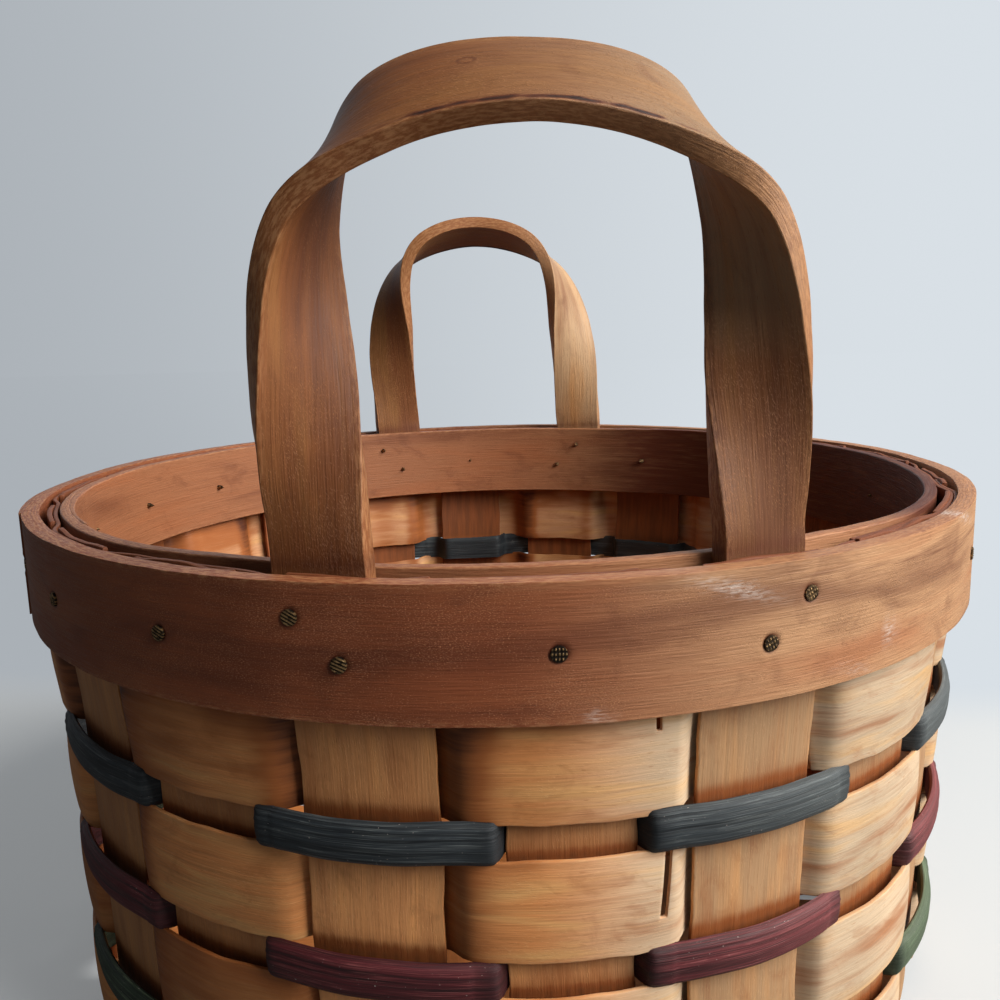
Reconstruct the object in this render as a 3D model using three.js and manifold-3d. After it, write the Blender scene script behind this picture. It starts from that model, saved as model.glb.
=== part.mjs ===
// A round splint basket with two fixed bentwood handles, in millimetres, +Z up.
// It stands on its woven base with the origin under the middle. The handles rise
// from the rim over the -Y side (front) and the +Y side (back).
import * as THREE from "three";
import { mergeVertices } from "three/addons/utils/BufferGeometryUtils.js";
import Module from "manifold-3d";

const wasm = await Module();
wasm.setup();

// Clearance between pieces that touch on the real basket
const FIT_GAP = 0.3;

// Rim: an outer and an inner bentwood band
const RIM_DIAMETER = 254;
const BAND_HEIGHT = 25.4;
const OUTER_BAND_THICKNESS = 4;
const INNER_BAND_THICKNESS = 3;
const INNER_BAND_EASE = 40;
const INNER_BAND_SPARE = 2.5;

// Stakes: both upturned ends of each long splint
const STAKE_WIDTH = 24.4;
const STAKE_THICKNESS = 1.2;
const STAKE_TOP_TRIM = 0.4;
const WALL_PINCH = 1;
const WALL_DRAW_IN = 3;
const FOOT_BEND_RADIUS = 6;

// Woven base
const BASE_PITCH = 28;

// Weavers: wide splints, half-round reeds and the binder under the rim bands
const SPLINT_HEIGHT = 20;
const SPLINT_THICKNESS = 1;
const SPLINT_BULGE = 1.3;
const REED_HEIGHT = 7.9;
const REED_THICKNESS = 2;
const REED_BULGE = 1.7;
const BINDER_TRIM = 0.7;
const BINDER_THICKNESS = 1;

// Handles: one bent and twisted strip each
const HANDLE_WIDTH = 18.6;
const HANDLE_THICKNESS = 4.3;
const HANDLE_LEG_TRIM = 1;
const HANDLE_LEG_STRAIGHT = 5;
const HANDLE_LEAN = 2.4;
const FRONT_HANDLE_RISE = 81.9;
const FRONT_HANDLE_HALF_SPAN = 41.1;
const FRONT_HANDLE_SWAY = -2.6;
const FRONT_LEG_OFFSET = 4.5;
const FRONT_HANDLE_TURN = THREE.MathUtils.degToRad(-1.5);
const BACK_HANDLE_RISE = 77.8;
const BACK_HANDLE_HALF_SPAN = 36;
const BACK_HANDLE_SWAY = 4;
const BACK_LEG_OFFSET = 0.5;
const BACK_HANDLE_TURN = THREE.MathUtils.degToRad(-4);

// Nails
const NAIL_HEAD_RADIUS = 1.5;
const NAIL_HEAD_THICKNESS = 0.6;
const NAIL_SHANK_RADIUS = 0.75;
const NAIL_DROP = 12.5;
const LEG_NAIL_HIGH_DROP = 6.5;
const LEG_NAIL_LOW_DROP = 14.6;
const LEG_NAIL_SPACING = 8.2;
const FRONT_NAIL_SHIFT = 3;
const LEFT_LEG_NAIL_SHIFT = 1.5;
const BARE_STAKE = 2;
const HOLE_OVERRUN = 2;

// Counts and directions
const STAKES = 20;
const STRIPS_EACH_WAY = 5;
const ROWS = 4;
const BAND_SEGMENTS = 60;
const NAIL_SIDES = 8;
const FOOT_BEND_STEPS = 3;
const FAN_STEPS = 3;
const HANDLE_STEPS = 48;
const STAKE_STEP = (2 * Math.PI) / STAKES;
const FRONT = FRONT_HANDLE_TURN;
const BACK = Math.PI + BACK_HANDLE_TURN;

// Each handle's path from the top of its arch (0) down to the rim (1), as shares of its
// rise, half span and lean, with the strip's twist in degrees
const FRONT_PATH_SHARES = [
  { along: 0, out: 0, up: 1, lean: -2.4, twist: 43 },
  { along: 0.22, out: 0.59, up: 0.944, lean: -1.4, twist: 36.5 },
  { along: 0.44, out: 0.93, up: 0.749, lean: 0.8, twist: -21 },
  { along: 0.7, out: 0.995, up: 0.363, lean: 0.5, twist: -71 },
];
const BACK_PATH_SHARES = [
  { along: 0, out: 0, up: 1, lean: -0.7, twist: 22 },
  { along: 0.22, out: 0.54, up: 0.94, lean: 0.3, twist: 14 },
  { along: 0.44, out: 0.86, up: 0.77, lean: 0.3, twist: -24 },
  { along: 0.7, out: 1, up: 0.44, lean: 0.2, twist: -74 },
];
const HANDLE_STRAIGHT_AT = 0.94;
const HANDLE_FOOT_AT = 1;
const HANDLE_TIP_AT = 1.22;

// Radii that follow from the rim, working inwards through its layers
const rimRadius = RIM_DIAMETER / 2;
const bandFlat = Math.cos(Math.PI / BAND_SEGMENTS);
const bandBore = (rimRadius - OUTER_BAND_THICKNESS) * bandFlat;
const stakeTopRadius = bandBore - FIT_GAP - BINDER_THICKNESS - FIT_GAP - STAKE_THICKNESS / 2;
const stakeHalfAngle = Math.asin(STAKE_WIDTH / 2 / stakeTopRadius);
const stakeFlat = Math.cos(stakeHalfAngle / 2);
const stakeFace = (stakeTopRadius - STAKE_THICKNESS / 2) * stakeFlat;
const legOuterPlane = Math.sqrt((stakeFace - FIT_GAP) ** 2 - (HANDLE_WIDTH / 2) ** 2);
const legRadius = legOuterPlane - HANDLE_THICKNESS / 2;
const binderSeat = seat(BINDER_THICKNESS);
const binderInner = (stakeTopRadius - binderSeat - BINDER_THICKNESS / 2) * stakeFlat;
const innerBandAtSides = binderInner - FIT_GAP;
const innerBandAtLegs = legOuterPlane - HANDLE_THICKNESS - FIT_GAP;

// Heights, measured up from the floor, with the base's two layers of splint at the bottom
const baseLift = STAKE_THICKNESS + FIT_GAP;
const baseLevel = (STAKE_THICKNESS + baseLift) / 2;
const footTop = baseLevel + FOOT_BEND_RADIUS;
const rowPitch = SPLINT_HEIGHT + REED_HEIGHT + 2 * FIT_GAP;
const wallHeight = BAND_HEIGHT + FIT_GAP + ROWS * rowPitch - REED_HEIGHT - FIT_GAP;
const rimTop = footTop + wallHeight;
const pinchEnd = BAND_HEIGHT + FIT_GAP + SPLINT_HEIGHT;
const footRadius = stakeRadius(wallHeight);

const WOOD = { roughness: 0.62, metalness: 0 };
const bandWood = new THREE.MeshStandardMaterial({ color: 0x8a5233, ...WOOD });
const handleWood = new THREE.MeshStandardMaterial({ color: 0x94592f, ...WOOD });
const stakeWood = new THREE.MeshStandardMaterial({ color: 0xb98552, ...WOOD });
const splintWood = new THREE.MeshStandardMaterial({ color: 0xc9985f, ...WOOD });
const blueReed = new THREE.MeshStandardMaterial({ color: 0x2b3440, roughness: 0.5, metalness: 0 });
const maroonReed = new THREE.MeshStandardMaterial({ color: 0x4d1c26, roughness: 0.5, metalness: 0 });
const greenReed = new THREE.MeshStandardMaterial({ color: 0x24352a, roughness: 0.5, metalness: 0 });
const nailSteel = new THREE.MeshStandardMaterial({ color: 0x4a3f36, roughness: 0.45, metalness: 0.8 });

// How far a weaver's middle lies from a stake's middle where the two cross
function seat(thickness) {
  return STAKE_THICKNESS / 2 + FIT_GAP + thickness / 2;
}

// The stakes' radius at a depth below the rim: upright in the rim, then drawn in
function stakeRadius(depth) {
  const pinched = THREE.MathUtils.clamp((depth - BAND_HEIGHT) / (pinchEnd - BAND_HEIGHT), 0, 1);
  const drawn = Math.max(0, (depth - BAND_HEIGHT) / (wallHeight - BAND_HEIGHT));
  return stakeTopRadius - WALL_PINCH * pinched - WALL_DRAW_IN * drawn;
}

// A point at a radius, an angle from the front (-Y) towards +X, and a height
function onWall(radius, angle, height) {
  return new THREE.Vector3(radius * Math.sin(angle), -radius * Math.cos(angle), height);
}

// The signed volume that a triangle mesh encloses
function enclosedVolume(points, index) {
  let volume = 0;
  const normal = new THREE.Vector3();
  for (let i = 0; i < index.length; i += 3) {
    normal.crossVectors(points[index[i + 1]], points[index[i + 2]]);
    volume += points[index[i]].dot(normal) / 6;
  }
  return volume;
}

// Joins a row of equal rings of points into one closed body. A ring's first half runs
// across one face of the strip and its second half comes back across the other.
function loft(rings, closed) {
  const size = rings[0].length;
  const points = rings.flat();
  const index = [];
  const quad = (a, b, c, d) => index.push(a, b, c, a, c, d);
  const spans = closed ? rings.length : rings.length - 1;
  for (let r = 0; r < spans; r++) {
    const here = r * size;
    const next = ((r + 1) % rings.length) * size;
    for (let k = 0; k < size; k++) {
      const after = (k + 1) % size;
      quad(here + k, here + after, next + after, next + k);
    }
  }
  if (!closed) {
    const last = (rings.length - 1) * size;
    for (let k = 0; k < size / 2 - 1; k++) {
      quad(k, size - 1 - k, size - 2 - k, k + 1);
      quad(last + k, last + k + 1, last + size - 2 - k, last + size - 1 - k);
    }
  }
  if (enclosedVolume(points, index) < 0) index.reverse();
  const geometry = new THREE.BufferGeometry().setFromPoints(points);
  geometry.setIndex(index);
  return geometry;
}

// A four-cornered ring across a band or weaver that stands on edge
function bandSection(angle, top, bottom, outerTop, outerBottom, thickness) {
  return [
    onWall(outerTop, angle, top),
    onWall(outerBottom, angle, bottom),
    onWall(outerBottom - thickness, angle, bottom),
    onWall(outerTop - thickness, angle, top),
  ];
}

// Conversions for the drilled pieces
function toSolid(geometry) {
  const bare = geometry.clone();
  bare.deleteAttribute("normal");
  bare.deleteAttribute("uv");
  const merged = mergeVertices(bare);
  return new wasm.Manifold(
    new wasm.Mesh({
      numProp: 3,
      vertProperties: new Float32Array(merged.attributes.position.array),
      triVerts: new Uint32Array(merged.index.array),
    }),
  );
}

function toGeometry(solid) {
  const mesh = solid.getMesh();
  const geometry = new THREE.BufferGeometry();
  geometry.setAttribute("position", new THREE.BufferAttribute(mesh.vertProperties, 3));
  geometry.setIndex(new THREE.BufferAttribute(mesh.triVerts, 1));
  return geometry;
}

// Handles
const handles = [
  {
    name: "front_handle",
    angle: FRONT,
    leg: STAKE_STEP + FRONT_LEG_OFFSET / legRadius,
    rise: FRONT_HANDLE_RISE,
    halfSpan: FRONT_HANDLE_HALF_SPAN,
    sway: FRONT_HANDLE_SWAY,
    shares: FRONT_PATH_SHARES,
  },
  {
    name: "back_handle",
    angle: BACK,
    leg: STAKE_STEP + BACK_LEG_OFFSET / legRadius,
    rise: BACK_HANDLE_RISE,
    halfSpan: BACK_HANDLE_HALF_SPAN,
    sway: BACK_HANDLE_SWAY,
    shares: BACK_PATH_SHARES,
  },
];

// The smallest turn from one angle to another
function turnBetween(from, to) {
  return Math.abs(Math.atan2(Math.sin(to - from), Math.cos(to - from)));
}

// The inner band's outer radius: round at the sides, pushed in over the handle legs
function innerBandRadius(angle) {
  let pushed = 0;
  for (const handle of handles) {
    const reach = handle.leg + (HANDLE_WIDTH / 2 + INNER_BAND_SPARE) / legRadius;
    const ease = INNER_BAND_EASE / legRadius;
    const away = (turnBetween(handle.angle, angle) - reach) / ease;
    pushed = Math.max(pushed, 1 - THREE.MathUtils.smoothstep(away, 0, 1));
  }
  return THREE.MathUtils.lerp(innerBandAtSides, innerBandAtLegs, pushed);
}

// The handle strip's middle line and twist, from its left foot over the arch to its right
function handlePath(handle) {
  const footX = legRadius * Math.sin(handle.leg);
  const footY = -legRadius * Math.cos(handle.leg);
  const half = handle.shares.map((share) => ({
    at: share.along,
    x: share.out * handle.halfSpan,
    y: footY + share.lean * HANDLE_LEAN,
    z: rimTop + share.up * handle.rise,
    twist: THREE.MathUtils.degToRad(share.twist),
  }));
  const leg = { x: footX, y: footY, twist: -Math.PI / 2 - handle.leg };
  half.push({ at: HANDLE_STRAIGHT_AT, ...leg, z: rimTop + HANDLE_LEG_STRAIGHT });
  half.push({ at: HANDLE_FOOT_AT, ...leg, z: rimTop });
  half.push({ at: HANDLE_TIP_AT, ...leg, z: rimTop - BAND_HEIGHT + HANDLE_LEG_TRIM });
  const left = half.slice(1).reverse();
  const stations = left.map((s) => ({ ...s, at: -s.at, x: -s.x })).concat(half);
  const sideways = (s) => handle.sway * Math.max(0, (s.z - rimTop) / handle.rise);
  return new THREE.CubicInterpolant(
    stations.map((s) => s.at),
    stations.flatMap((s) => [s.x + sideways(s), s.y, s.z, s.twist]),
    4,
  );
}

// One strip bent over the arch, its legs turned to lie flat against the rim
function handleGeometry(handle) {
  const path = handlePath(handle);
  const point = (at) => new THREE.Vector3(...path.evaluate(at).slice(0, 3));
  const probe = HANDLE_TIP_AT / HANDLE_STEPS;
  const rings = [];
  for (let i = 0; i <= HANDLE_STEPS; i++) {
    const at = THREE.MathUtils.lerp(-HANDLE_TIP_AT, HANDLE_TIP_AT, i / HANDLE_STEPS);
    const ahead = point(Math.min(at + probe, HANDLE_TIP_AT));
    const behind = point(Math.max(at - probe, -HANDLE_TIP_AT));
    const tangent = ahead.sub(behind).normalize();
    const level = new THREE.Vector3(0, 1, 0).projectOnPlane(tangent).normalize();
    const across = level.applyAxisAngle(tangent, path.evaluate(at)[3]);
    const through = new THREE.Vector3().crossVectors(tangent, across);
    const centre = point(at);
    const corner = (a, t) =>
      centre
        .clone()
        .addScaledVector(across, (a * HANDLE_WIDTH) / 2)
        .addScaledVector(through, (t * HANDLE_THICKNESS) / 2);
    rings.push([corner(-1, 1), corner(1, 1), corner(1, -1), corner(-1, -1)]);
  }
  return loft(rings, false).rotateZ(handle.angle);
}

// Nails: one through each stake in the rim but one, and two through each handle leg
function nailPlaces() {
  const places = [];
  const nailed = new Set([BARE_STAKE]);
  for (const handle of handles) {
    for (const side of [-1, 1]) {
      const leg = handle.angle + side * handle.leg;
      const stake = Math.round(leg / STAKE_STEP);
      const shift = handle === handles[0] && side < 0 ? LEFT_LEG_NAIL_SHIFT / rimRadius : 0;
      const middle = (leg + stake * STAKE_STEP) / 2 - shift;
      const half = LEG_NAIL_SPACING / 2 / legRadius;
      nailed.add((stake + STAKES) % STAKES);
      places.push({ angle: middle + side * half, drop: LEG_NAIL_HIGH_DROP, leg: handle });
      places.push({ angle: middle - side * half, drop: LEG_NAIL_LOW_DROP, leg: handle });
    }
  }
  for (let stake = 0; stake < STAKES; stake++) {
    const shift = stake === 0 ? FRONT_NAIL_SHIFT / rimRadius : 0;
    if (!nailed.has(stake)) places.push({ angle: stake * STAKE_STEP - shift, drop: NAIL_DROP });
  }
  return places;
}

const nails = nailPlaces();

// A nail pointing in along its own radius: flat head outside the band, point inside
function nailGeometry({ angle, drop }) {
  const seatRadius = rimRadius + FIT_GAP;
  const length = seatRadius - (innerBandRadius(angle) - INNER_BAND_THICKNESS);
  const profile = [
    [0, NAIL_HEAD_THICKNESS],
    [NAIL_HEAD_RADIUS, NAIL_HEAD_THICKNESS],
    [NAIL_HEAD_RADIUS, 0],
    [NAIL_SHANK_RADIUS, 0],
    [NAIL_SHANK_RADIUS, -length],
    [0, -length],
  ].map(([radius, out]) => new THREE.Vector2(radius, out));
  return new THREE.LatheGeometry(profile.reverse(), NAIL_SIDES)
    .rotateX(Math.PI)
    .translate(0, -seatRadius, 0)
    .rotateZ(angle)
    .translate(0, 0, rimTop - drop);
}

// The hole that one nail needs, through every layer of the rim
function holeSolid({ angle, drop }) {
  const outside = rimRadius + HOLE_OVERRUN;
  const inside = innerBandAtLegs - INNER_BAND_THICKNESS - HOLE_OVERRUN;
  const bore = new THREE.CylinderGeometry(
    NAIL_SHANK_RADIUS + FIT_GAP,
    NAIL_SHANK_RADIUS + FIT_GAP,
    outside - inside,
    NAIL_SIDES,
  );
  bore.translate(0, -(outside + inside) / 2, 0).rotateZ(angle).translate(0, 0, rimTop - drop);
  return toSolid(bore);
}

// A piece with the holes of the nails that pass through it
function drilled(geometry, through) {
  const solid = through.reduce((left, nail) => left.subtract(holeSolid(nail)), toSolid(geometry));
  return toGeometry(solid);
}

// The outer band, and the inner band that clamps stakes, binder and handle legs to it
function outerBandGeometry() {
  const rings = [];
  for (let i = 0; i < BAND_SEGMENTS; i++) {
    const angle = (i / BAND_SEGMENTS) * 2 * Math.PI;
    const bottom = rimTop - BAND_HEIGHT;
    rings.push(bandSection(angle, rimTop, bottom, rimRadius, rimRadius, OUTER_BAND_THICKNESS));
  }
  return drilled(loft(rings, true), nails);
}

function innerBandGeometry() {
  const rings = [];
  for (let i = 0; i < BAND_SEGMENTS; i++) {
    const angle = (i / BAND_SEGMENTS) * 2 * Math.PI;
    const radius = innerBandRadius(angle);
    const bottom = rimTop - BAND_HEIGHT;
    rings.push(bandSection(angle, rimTop, bottom, radius, radius, INNER_BAND_THICKNESS));
  }
  return drilled(loft(rings, true), nails);
}

// A weaver in one closed round: outside the even stakes where side is 1, inside them
// where it is -1, with three places to a stake and a bulge at the stake's middle
function weaverGeometry({ top, height, thickness, bulge, side }) {
  const rings = [];
  for (let stake = 0; stake < STAKES; stake++) {
    const outward = (stake % 2 === 0 ? 1 : -1) * side;
    for (const place of [-1, 0, 1]) {
      const angle = stake * STAKE_STEP + place * stakeHalfAngle;
      const stand = outward * (seat(thickness) + (place === 0 ? bulge : 0)) + thickness / 2;
      const outerTop = stakeRadius(top) + stand;
      const outerBottom = stakeRadius(top + height) + stand;
      const heights = [rimTop - top, rimTop - top - height];
      rings.push(bandSection(angle, ...heights, outerTop, outerBottom, thickness));
    }
  }
  return loft(rings, true);
}

// A ring of points across a splint at one station: flat on the base, curved to the
// basket's round on the wall. The station's heading turns its width in plan, and its
// slope turns it from lying flat to standing upright.
function stripSection({ u, v, z, heading, slope, round }) {
  const centre = new THREE.Vector3(u, v, z);
  const across = new THREE.Vector3(-Math.sin(heading), Math.cos(heading), 0);
  const inward = new THREE.Vector3(
    -Math.sin(slope) * Math.cos(heading),
    -Math.sin(slope) * Math.sin(heading),
    Math.cos(slope),
  );
  const radius = footRadius;
  const sag = round * (radius - Math.sqrt(radius ** 2 - (STAKE_WIDTH / 2) ** 2));
  const place = (side, face) =>
    centre
      .clone()
      .addScaledVector(across, (side * STAKE_WIDTH) / 2)
      .addScaledVector(inward, (face * STAKE_THICKNESS) / 2 + side ** 2 * sag);
  return [place(-1, -1), place(0, -1), place(1, -1), place(1, 1), place(0, 1), place(-1, 1)];
}

// The stations of half a splint, from the middle of the base out and up to the rim
function halfStripStations(row, underFirst) {
  const stations = [];
  const v = row * BASE_PITCH;
  const low = STAKE_THICKNESS / 2;
  const last = (STRIPS_EACH_WAY - 1) / 2;
  const flat = { heading: 0, slope: 0, round: 0 };
  for (let crossing = 0; crossing <= last; crossing++) {
    const under = (crossing + row) % 2 === 0 ? underFirst : !underFirst;
    const z = under ? low : low + baseLift;
    const middle = crossing * BASE_PITCH;
    if (crossing > 0) stations.push({ u: middle - STAKE_WIDTH / 2, v, z, ...flat });
    stations.push({ u: middle + STAKE_WIDTH / 2, v, z, ...flat });
  }

  // Fan out from the base's grid to the stake's own place round the foot
  const edge = stations[stations.length - 1];
  const turn = row * STAKE_STEP;
  const reach = footRadius - FOOT_BEND_RADIUS;
  const start = new THREE.Vector2(edge.u, edge.v);
  const end = new THREE.Vector2(reach * Math.cos(turn), reach * Math.sin(turn));
  const lead = start.distanceTo(end) / 3;
  const fan = new THREE.CubicBezierCurve(
    start,
    new THREE.Vector2(start.x + lead, start.y),
    new THREE.Vector2(end.x - lead * Math.cos(turn), end.y - lead * Math.sin(turn)),
    end,
  );
  for (let i = 1; i <= FAN_STEPS; i++) {
    const t = i / FAN_STEPS;
    const at = fan.getPoint(t);
    const heading = fan.getTangent(t).angle();
    const z = THREE.MathUtils.lerp(edge.z, baseLevel, t);
    stations.push({ u: at.x, v: at.y, z, heading, slope: 0, round: 0 });
  }

  // Turn up through the foot's bend
  for (let i = 1; i <= FOOT_BEND_STEPS; i++) {
    const slope = ((i / FOOT_BEND_STEPS) * Math.PI) / 2;
    const radius = reach + FOOT_BEND_RADIUS * Math.sin(slope);
    const z = footTop - FOOT_BEND_RADIUS * Math.cos(slope);
    stations.push(upright(radius, turn, z, slope, i / FOOT_BEND_STEPS));
  }

  // Rise to the rim
  for (const depth of [pinchEnd, BAND_HEIGHT, STAKE_TOP_TRIM]) {
    stations.push(upright(stakeRadius(depth), turn, rimTop - depth, Math.PI / 2, 1));
  }
  return stations;
}

function upright(radius, turn, z, slope, round) {
  const heading = turn;
  return { u: radius * Math.cos(turn), v: radius * Math.sin(turn), z, heading, slope, round };
}

// One long splint: up one side as a stake, across the base and up the other side
function stripGeometry(row, turn, underFirst) {
  const half = halfStripStations(row, underFirst).map(stripSection);
  const mirror = (ring) => ring.map((p) => new THREE.Vector3(-p.x, p.y, p.z));
  const rings = half.map(mirror).reverse().concat(half);
  const strip = loft(rings, false).rotateZ(turn);
  return drilled(strip, nails.filter((nail) => meets(nail.angle, row, turn)));
}

// Whether a nail at an angle passes through a splint's stakes
function meets(angle, row, turn) {
  const ends = [row * STAKE_STEP, Math.PI - row * STAKE_STEP];
  return ends.some((end) => turnBetween(end + turn + Math.PI / 2, angle) < STAKE_STEP / 2);
}

const basket = new THREE.Group();

function add(group, name, geometry, material) {
  const mesh = new THREE.Mesh(geometry, material);
  mesh.name = name;
  group.add(mesh);
}

function newGroup() {
  const group = new THREE.Group();
  basket.add(group);
  return group;
}

// Splints that run left to right lie under at the middle crossing, the others over it
const splints = newGroup();
for (let i = 0; i < STRIPS_EACH_WAY; i++) {
  const row = i - (STRIPS_EACH_WAY - 1) / 2;
  add(splints, `side_splint_${i + 1}`, stripGeometry(row, 0, true), stakeWood);
  add(splints, `lengthwise_splint_${i + 1}`, stripGeometry(row, Math.PI / 2, false), stakeWood);
}

// Weavers, from the rim down
const weavers = newGroup();
const binder = {
  top: BINDER_TRIM,
  height: BAND_HEIGHT - 2 * BINDER_TRIM,
  thickness: BINDER_THICKNESS,
  bulge: 0,
  side: -1,
};
add(weavers, "rim_binder", drilled(weaverGeometry(binder), nails), splintWood);
const reedColours = [
  ["blue_reed", blueReed],
  ["maroon_reed", maroonReed],
  ["green_reed", greenReed],
];
for (let row = 0; row < ROWS; row++) {
  const top = BAND_HEIGHT + FIT_GAP + row * rowPitch;
  const splint = {
    top,
    height: SPLINT_HEIGHT,
    thickness: SPLINT_THICKNESS,
    bulge: SPLINT_BULGE,
    side: 1,
  };
  add(weavers, `wide_weaver_${row + 1}`, weaverGeometry(splint), splintWood);
  if (row < reedColours.length) {
    const [name, colour] = reedColours[row];
    const reed = {
      top: top + SPLINT_HEIGHT + FIT_GAP,
      height: REED_HEIGHT,
      thickness: REED_THICKNESS,
      bulge: REED_BULGE,
      side: -1,
    };
    add(weavers, name, weaverGeometry(reed), colour);
  }
}

// Rim, handles and nails
const rim = newGroup();
add(rim, "outer_rim_band", outerBandGeometry(), bandWood);
add(rim, "inner_rim_band", innerBandGeometry(), bandWood);
for (const handle of handles) {
  const own = nails.filter((nail) => nail.leg === handle);
  add(rim, handle.name, drilled(handleGeometry(handle), own), handleWood);
}
const fixings = newGroup();
for (const [kind, ofLeg] of [["handle_nail", true], ["rim_nail", false]]) {
  const own = nails.filter((nail) => Boolean(nail.leg) === ofLeg);
  own.forEach((nail, i) => add(fixings, `${kind}_${i + 1}`, nailGeometry(nail), nailSteel));
}

export default basket;
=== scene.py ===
"""Dresses a round splint basket with nailed rim bands and two twisted hoop handles.

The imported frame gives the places. Each strip of wood is laid from a grid along the
path that the real strip takes, thickened, rounded at its edges and given a
procedural finish whose grain runs along the strip. Lengths are in metres.
"""
from __future__ import annotations

import logging
import math
from dataclasses import dataclass
from enum import Enum
from typing import Callable

import bpy
import numpy as np
from mathutils import Matrix, Vector

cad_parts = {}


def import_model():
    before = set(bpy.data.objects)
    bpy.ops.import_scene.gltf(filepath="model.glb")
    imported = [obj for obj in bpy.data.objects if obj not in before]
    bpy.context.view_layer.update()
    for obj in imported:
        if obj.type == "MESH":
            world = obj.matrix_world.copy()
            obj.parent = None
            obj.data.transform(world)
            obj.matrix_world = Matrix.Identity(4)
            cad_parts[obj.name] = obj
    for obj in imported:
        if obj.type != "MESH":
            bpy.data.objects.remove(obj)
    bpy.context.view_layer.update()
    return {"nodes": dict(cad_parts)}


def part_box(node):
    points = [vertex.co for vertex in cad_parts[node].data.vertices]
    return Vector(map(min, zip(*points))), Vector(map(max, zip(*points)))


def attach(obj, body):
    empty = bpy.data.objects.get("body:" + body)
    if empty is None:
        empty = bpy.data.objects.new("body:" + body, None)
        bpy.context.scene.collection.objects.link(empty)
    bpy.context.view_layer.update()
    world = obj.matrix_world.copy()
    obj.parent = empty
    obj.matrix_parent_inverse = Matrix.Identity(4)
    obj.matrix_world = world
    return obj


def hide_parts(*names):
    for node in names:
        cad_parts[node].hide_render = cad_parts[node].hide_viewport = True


log = logging.getLogger("basket")

MM = 0.001
BODY = "root"

Array = np.ndarray
Surface = Callable[[Array, Array], Array]
Colour = tuple[float, float, float, float]
Piece = bpy.types.Object
Material = bpy.types.Material


def tint(red: int, green: int, blue: int) -> Colour:
    """Turns a colour as a screen shows it, 0 to 255, into a linear one.

    Args:
        red: the red share.
        green: the green share.
        blue: the blue share.

    Returns:
        The linear colour with full cover.
    """

    def linear(share: float) -> float:
        return share / 12.92 if share <= 0.04045 else ((share + 0.055) / 1.055) ** 2.4

    return (linear(red / 255), linear(green / 255), linear(blue / 255), 1.0)


def ease(value: Array, low: float, high: float) -> Array:
    """Rises smoothly from 0 at low to 1 at high.

    Args:
        value: where to look.
        low: the place of 0.
        high: the place of 1.

    Returns:
        The eased shares.
    """
    share = np.clip((value - low) / (high - low), 0.0, 1.0)
    return share * share * (3 - 2 * share)


def ripple(seed: int, place: Array, length: float) -> Array:
    """Gives gentle uneven waves between about -1 and 1.

    Args:
        seed: picks the waves.
        place: where to look, in metres.
        length: the usual wave length, in metres.

    Returns:
        The height of the waves at each place.
    """
    rng = np.random.default_rng(seed)
    total = np.zeros_like(place, dtype=float)
    for octave in (1.0, 1.7, 2.9):
        turn = 2 * math.pi * octave * rng.uniform(0.8, 1.25) / length
        total += np.sin(place * turn + rng.uniform(0, 2 * math.pi)) / octave
    return total / 1.9


def on_wall(radius: Array, angle: Array, height: Array) -> Array:
    """Places points by radius, angle from the front (-Y) towards +X, and height."""
    return np.stack([radius * np.sin(angle), -radius * np.cos(angle), height], axis=-1)


def turn_from(angle: Array, other: float = 0.0) -> Array:
    """Gives the signed smallest turn to an angle from another, or from the front."""
    return np.arctan2(np.sin(angle - other), np.cos(angle - other))


def angle_at(points: Array) -> Array:
    """Gives the angle of points from the front (-Y) towards +X."""
    return np.arctan2(points[..., 0], -points[..., 1])


def lengths_along(points: Array) -> Array:
    """Gives how far along the path through some points each of them lies."""
    steps = np.linalg.norm(np.diff(points, axis=0), axis=1)
    return np.concatenate([[0.0], np.cumsum(steps)])


def read_at(table: Array, length: Array, along: Array) -> Array:
    """Reads a table of vectors, kept by the length along a path, at places between."""
    return np.stack([np.interp(along, length, table[:, axis]) for axis in range(3)], axis=-1)


def edge_mark(width: float, reach: float, length: float = math.inf) -> Surface:
    """Makes the mark of a strip's edges: 1 at the edge and less further in.

    Args:
        width: the strip's width.
        reach: how far in the mark has faded to a third.
        length: the strip's length, where its ends are marked too.

    Returns:
        The mark at a place along and across.
    """

    def mark(along: Array, across: Array) -> Array:
        inside = np.minimum(across, width - across)
        if math.isfinite(length):
            inside = np.minimum(inside, np.minimum(along, length - along))
        return np.exp(-inside / reach)

    return mark


@dataclass(frozen=True)
class Wave:
    """Gentle uneven waves, by their height and their usual length in metres."""

    height: float
    length: float

    def at(self, seed: int, place: Array) -> Array:
        """Gives the height of the waves that a seed picks."""
        return self.height * ripple(seed, place, self.length)


def rows_across(width: float, step: float) -> Array:
    """Spaces the rows of a strip, closer by both of its long edges.

    Args:
        width: the strip's width.
        step: the usual space between rows.

    Returns:
        The places of the rows from 0 to the width.
    """
    close = np.array([0.0, 0.35, 0.9, 1.8]) * MM
    inside = np.linspace(close[-1], width - close[-1], max(2, round(width / step)))
    return np.concatenate([close[:-1], inside, width - close[-2::-1]])


def finer_near(places: Array, centres: list[float], reach: float, step: float) -> Array:
    """Adds places round each centre, so that a small dent there has its own faces.

    Args:
        places: the places so far.
        centres: where the dents are.
        reach: how far each side of a centre the extra places run.
        step: the space between the extra places.

    Returns:
        All the places in order, none closer than half a step.
    """
    extra = [centre + np.arange(-reach, reach + step / 2, step) for centre in centres]
    low, high = places[0], places[-1]
    joined = np.sort(np.concatenate([places, *extra]))
    joined = joined[(joined > low + step / 2) & (joined < high - step / 2)]
    kept = [low]
    for place in joined:
        if place - kept[-1] > step / 2:
            kept.append(place)
    return np.array([*kept, high])


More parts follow.
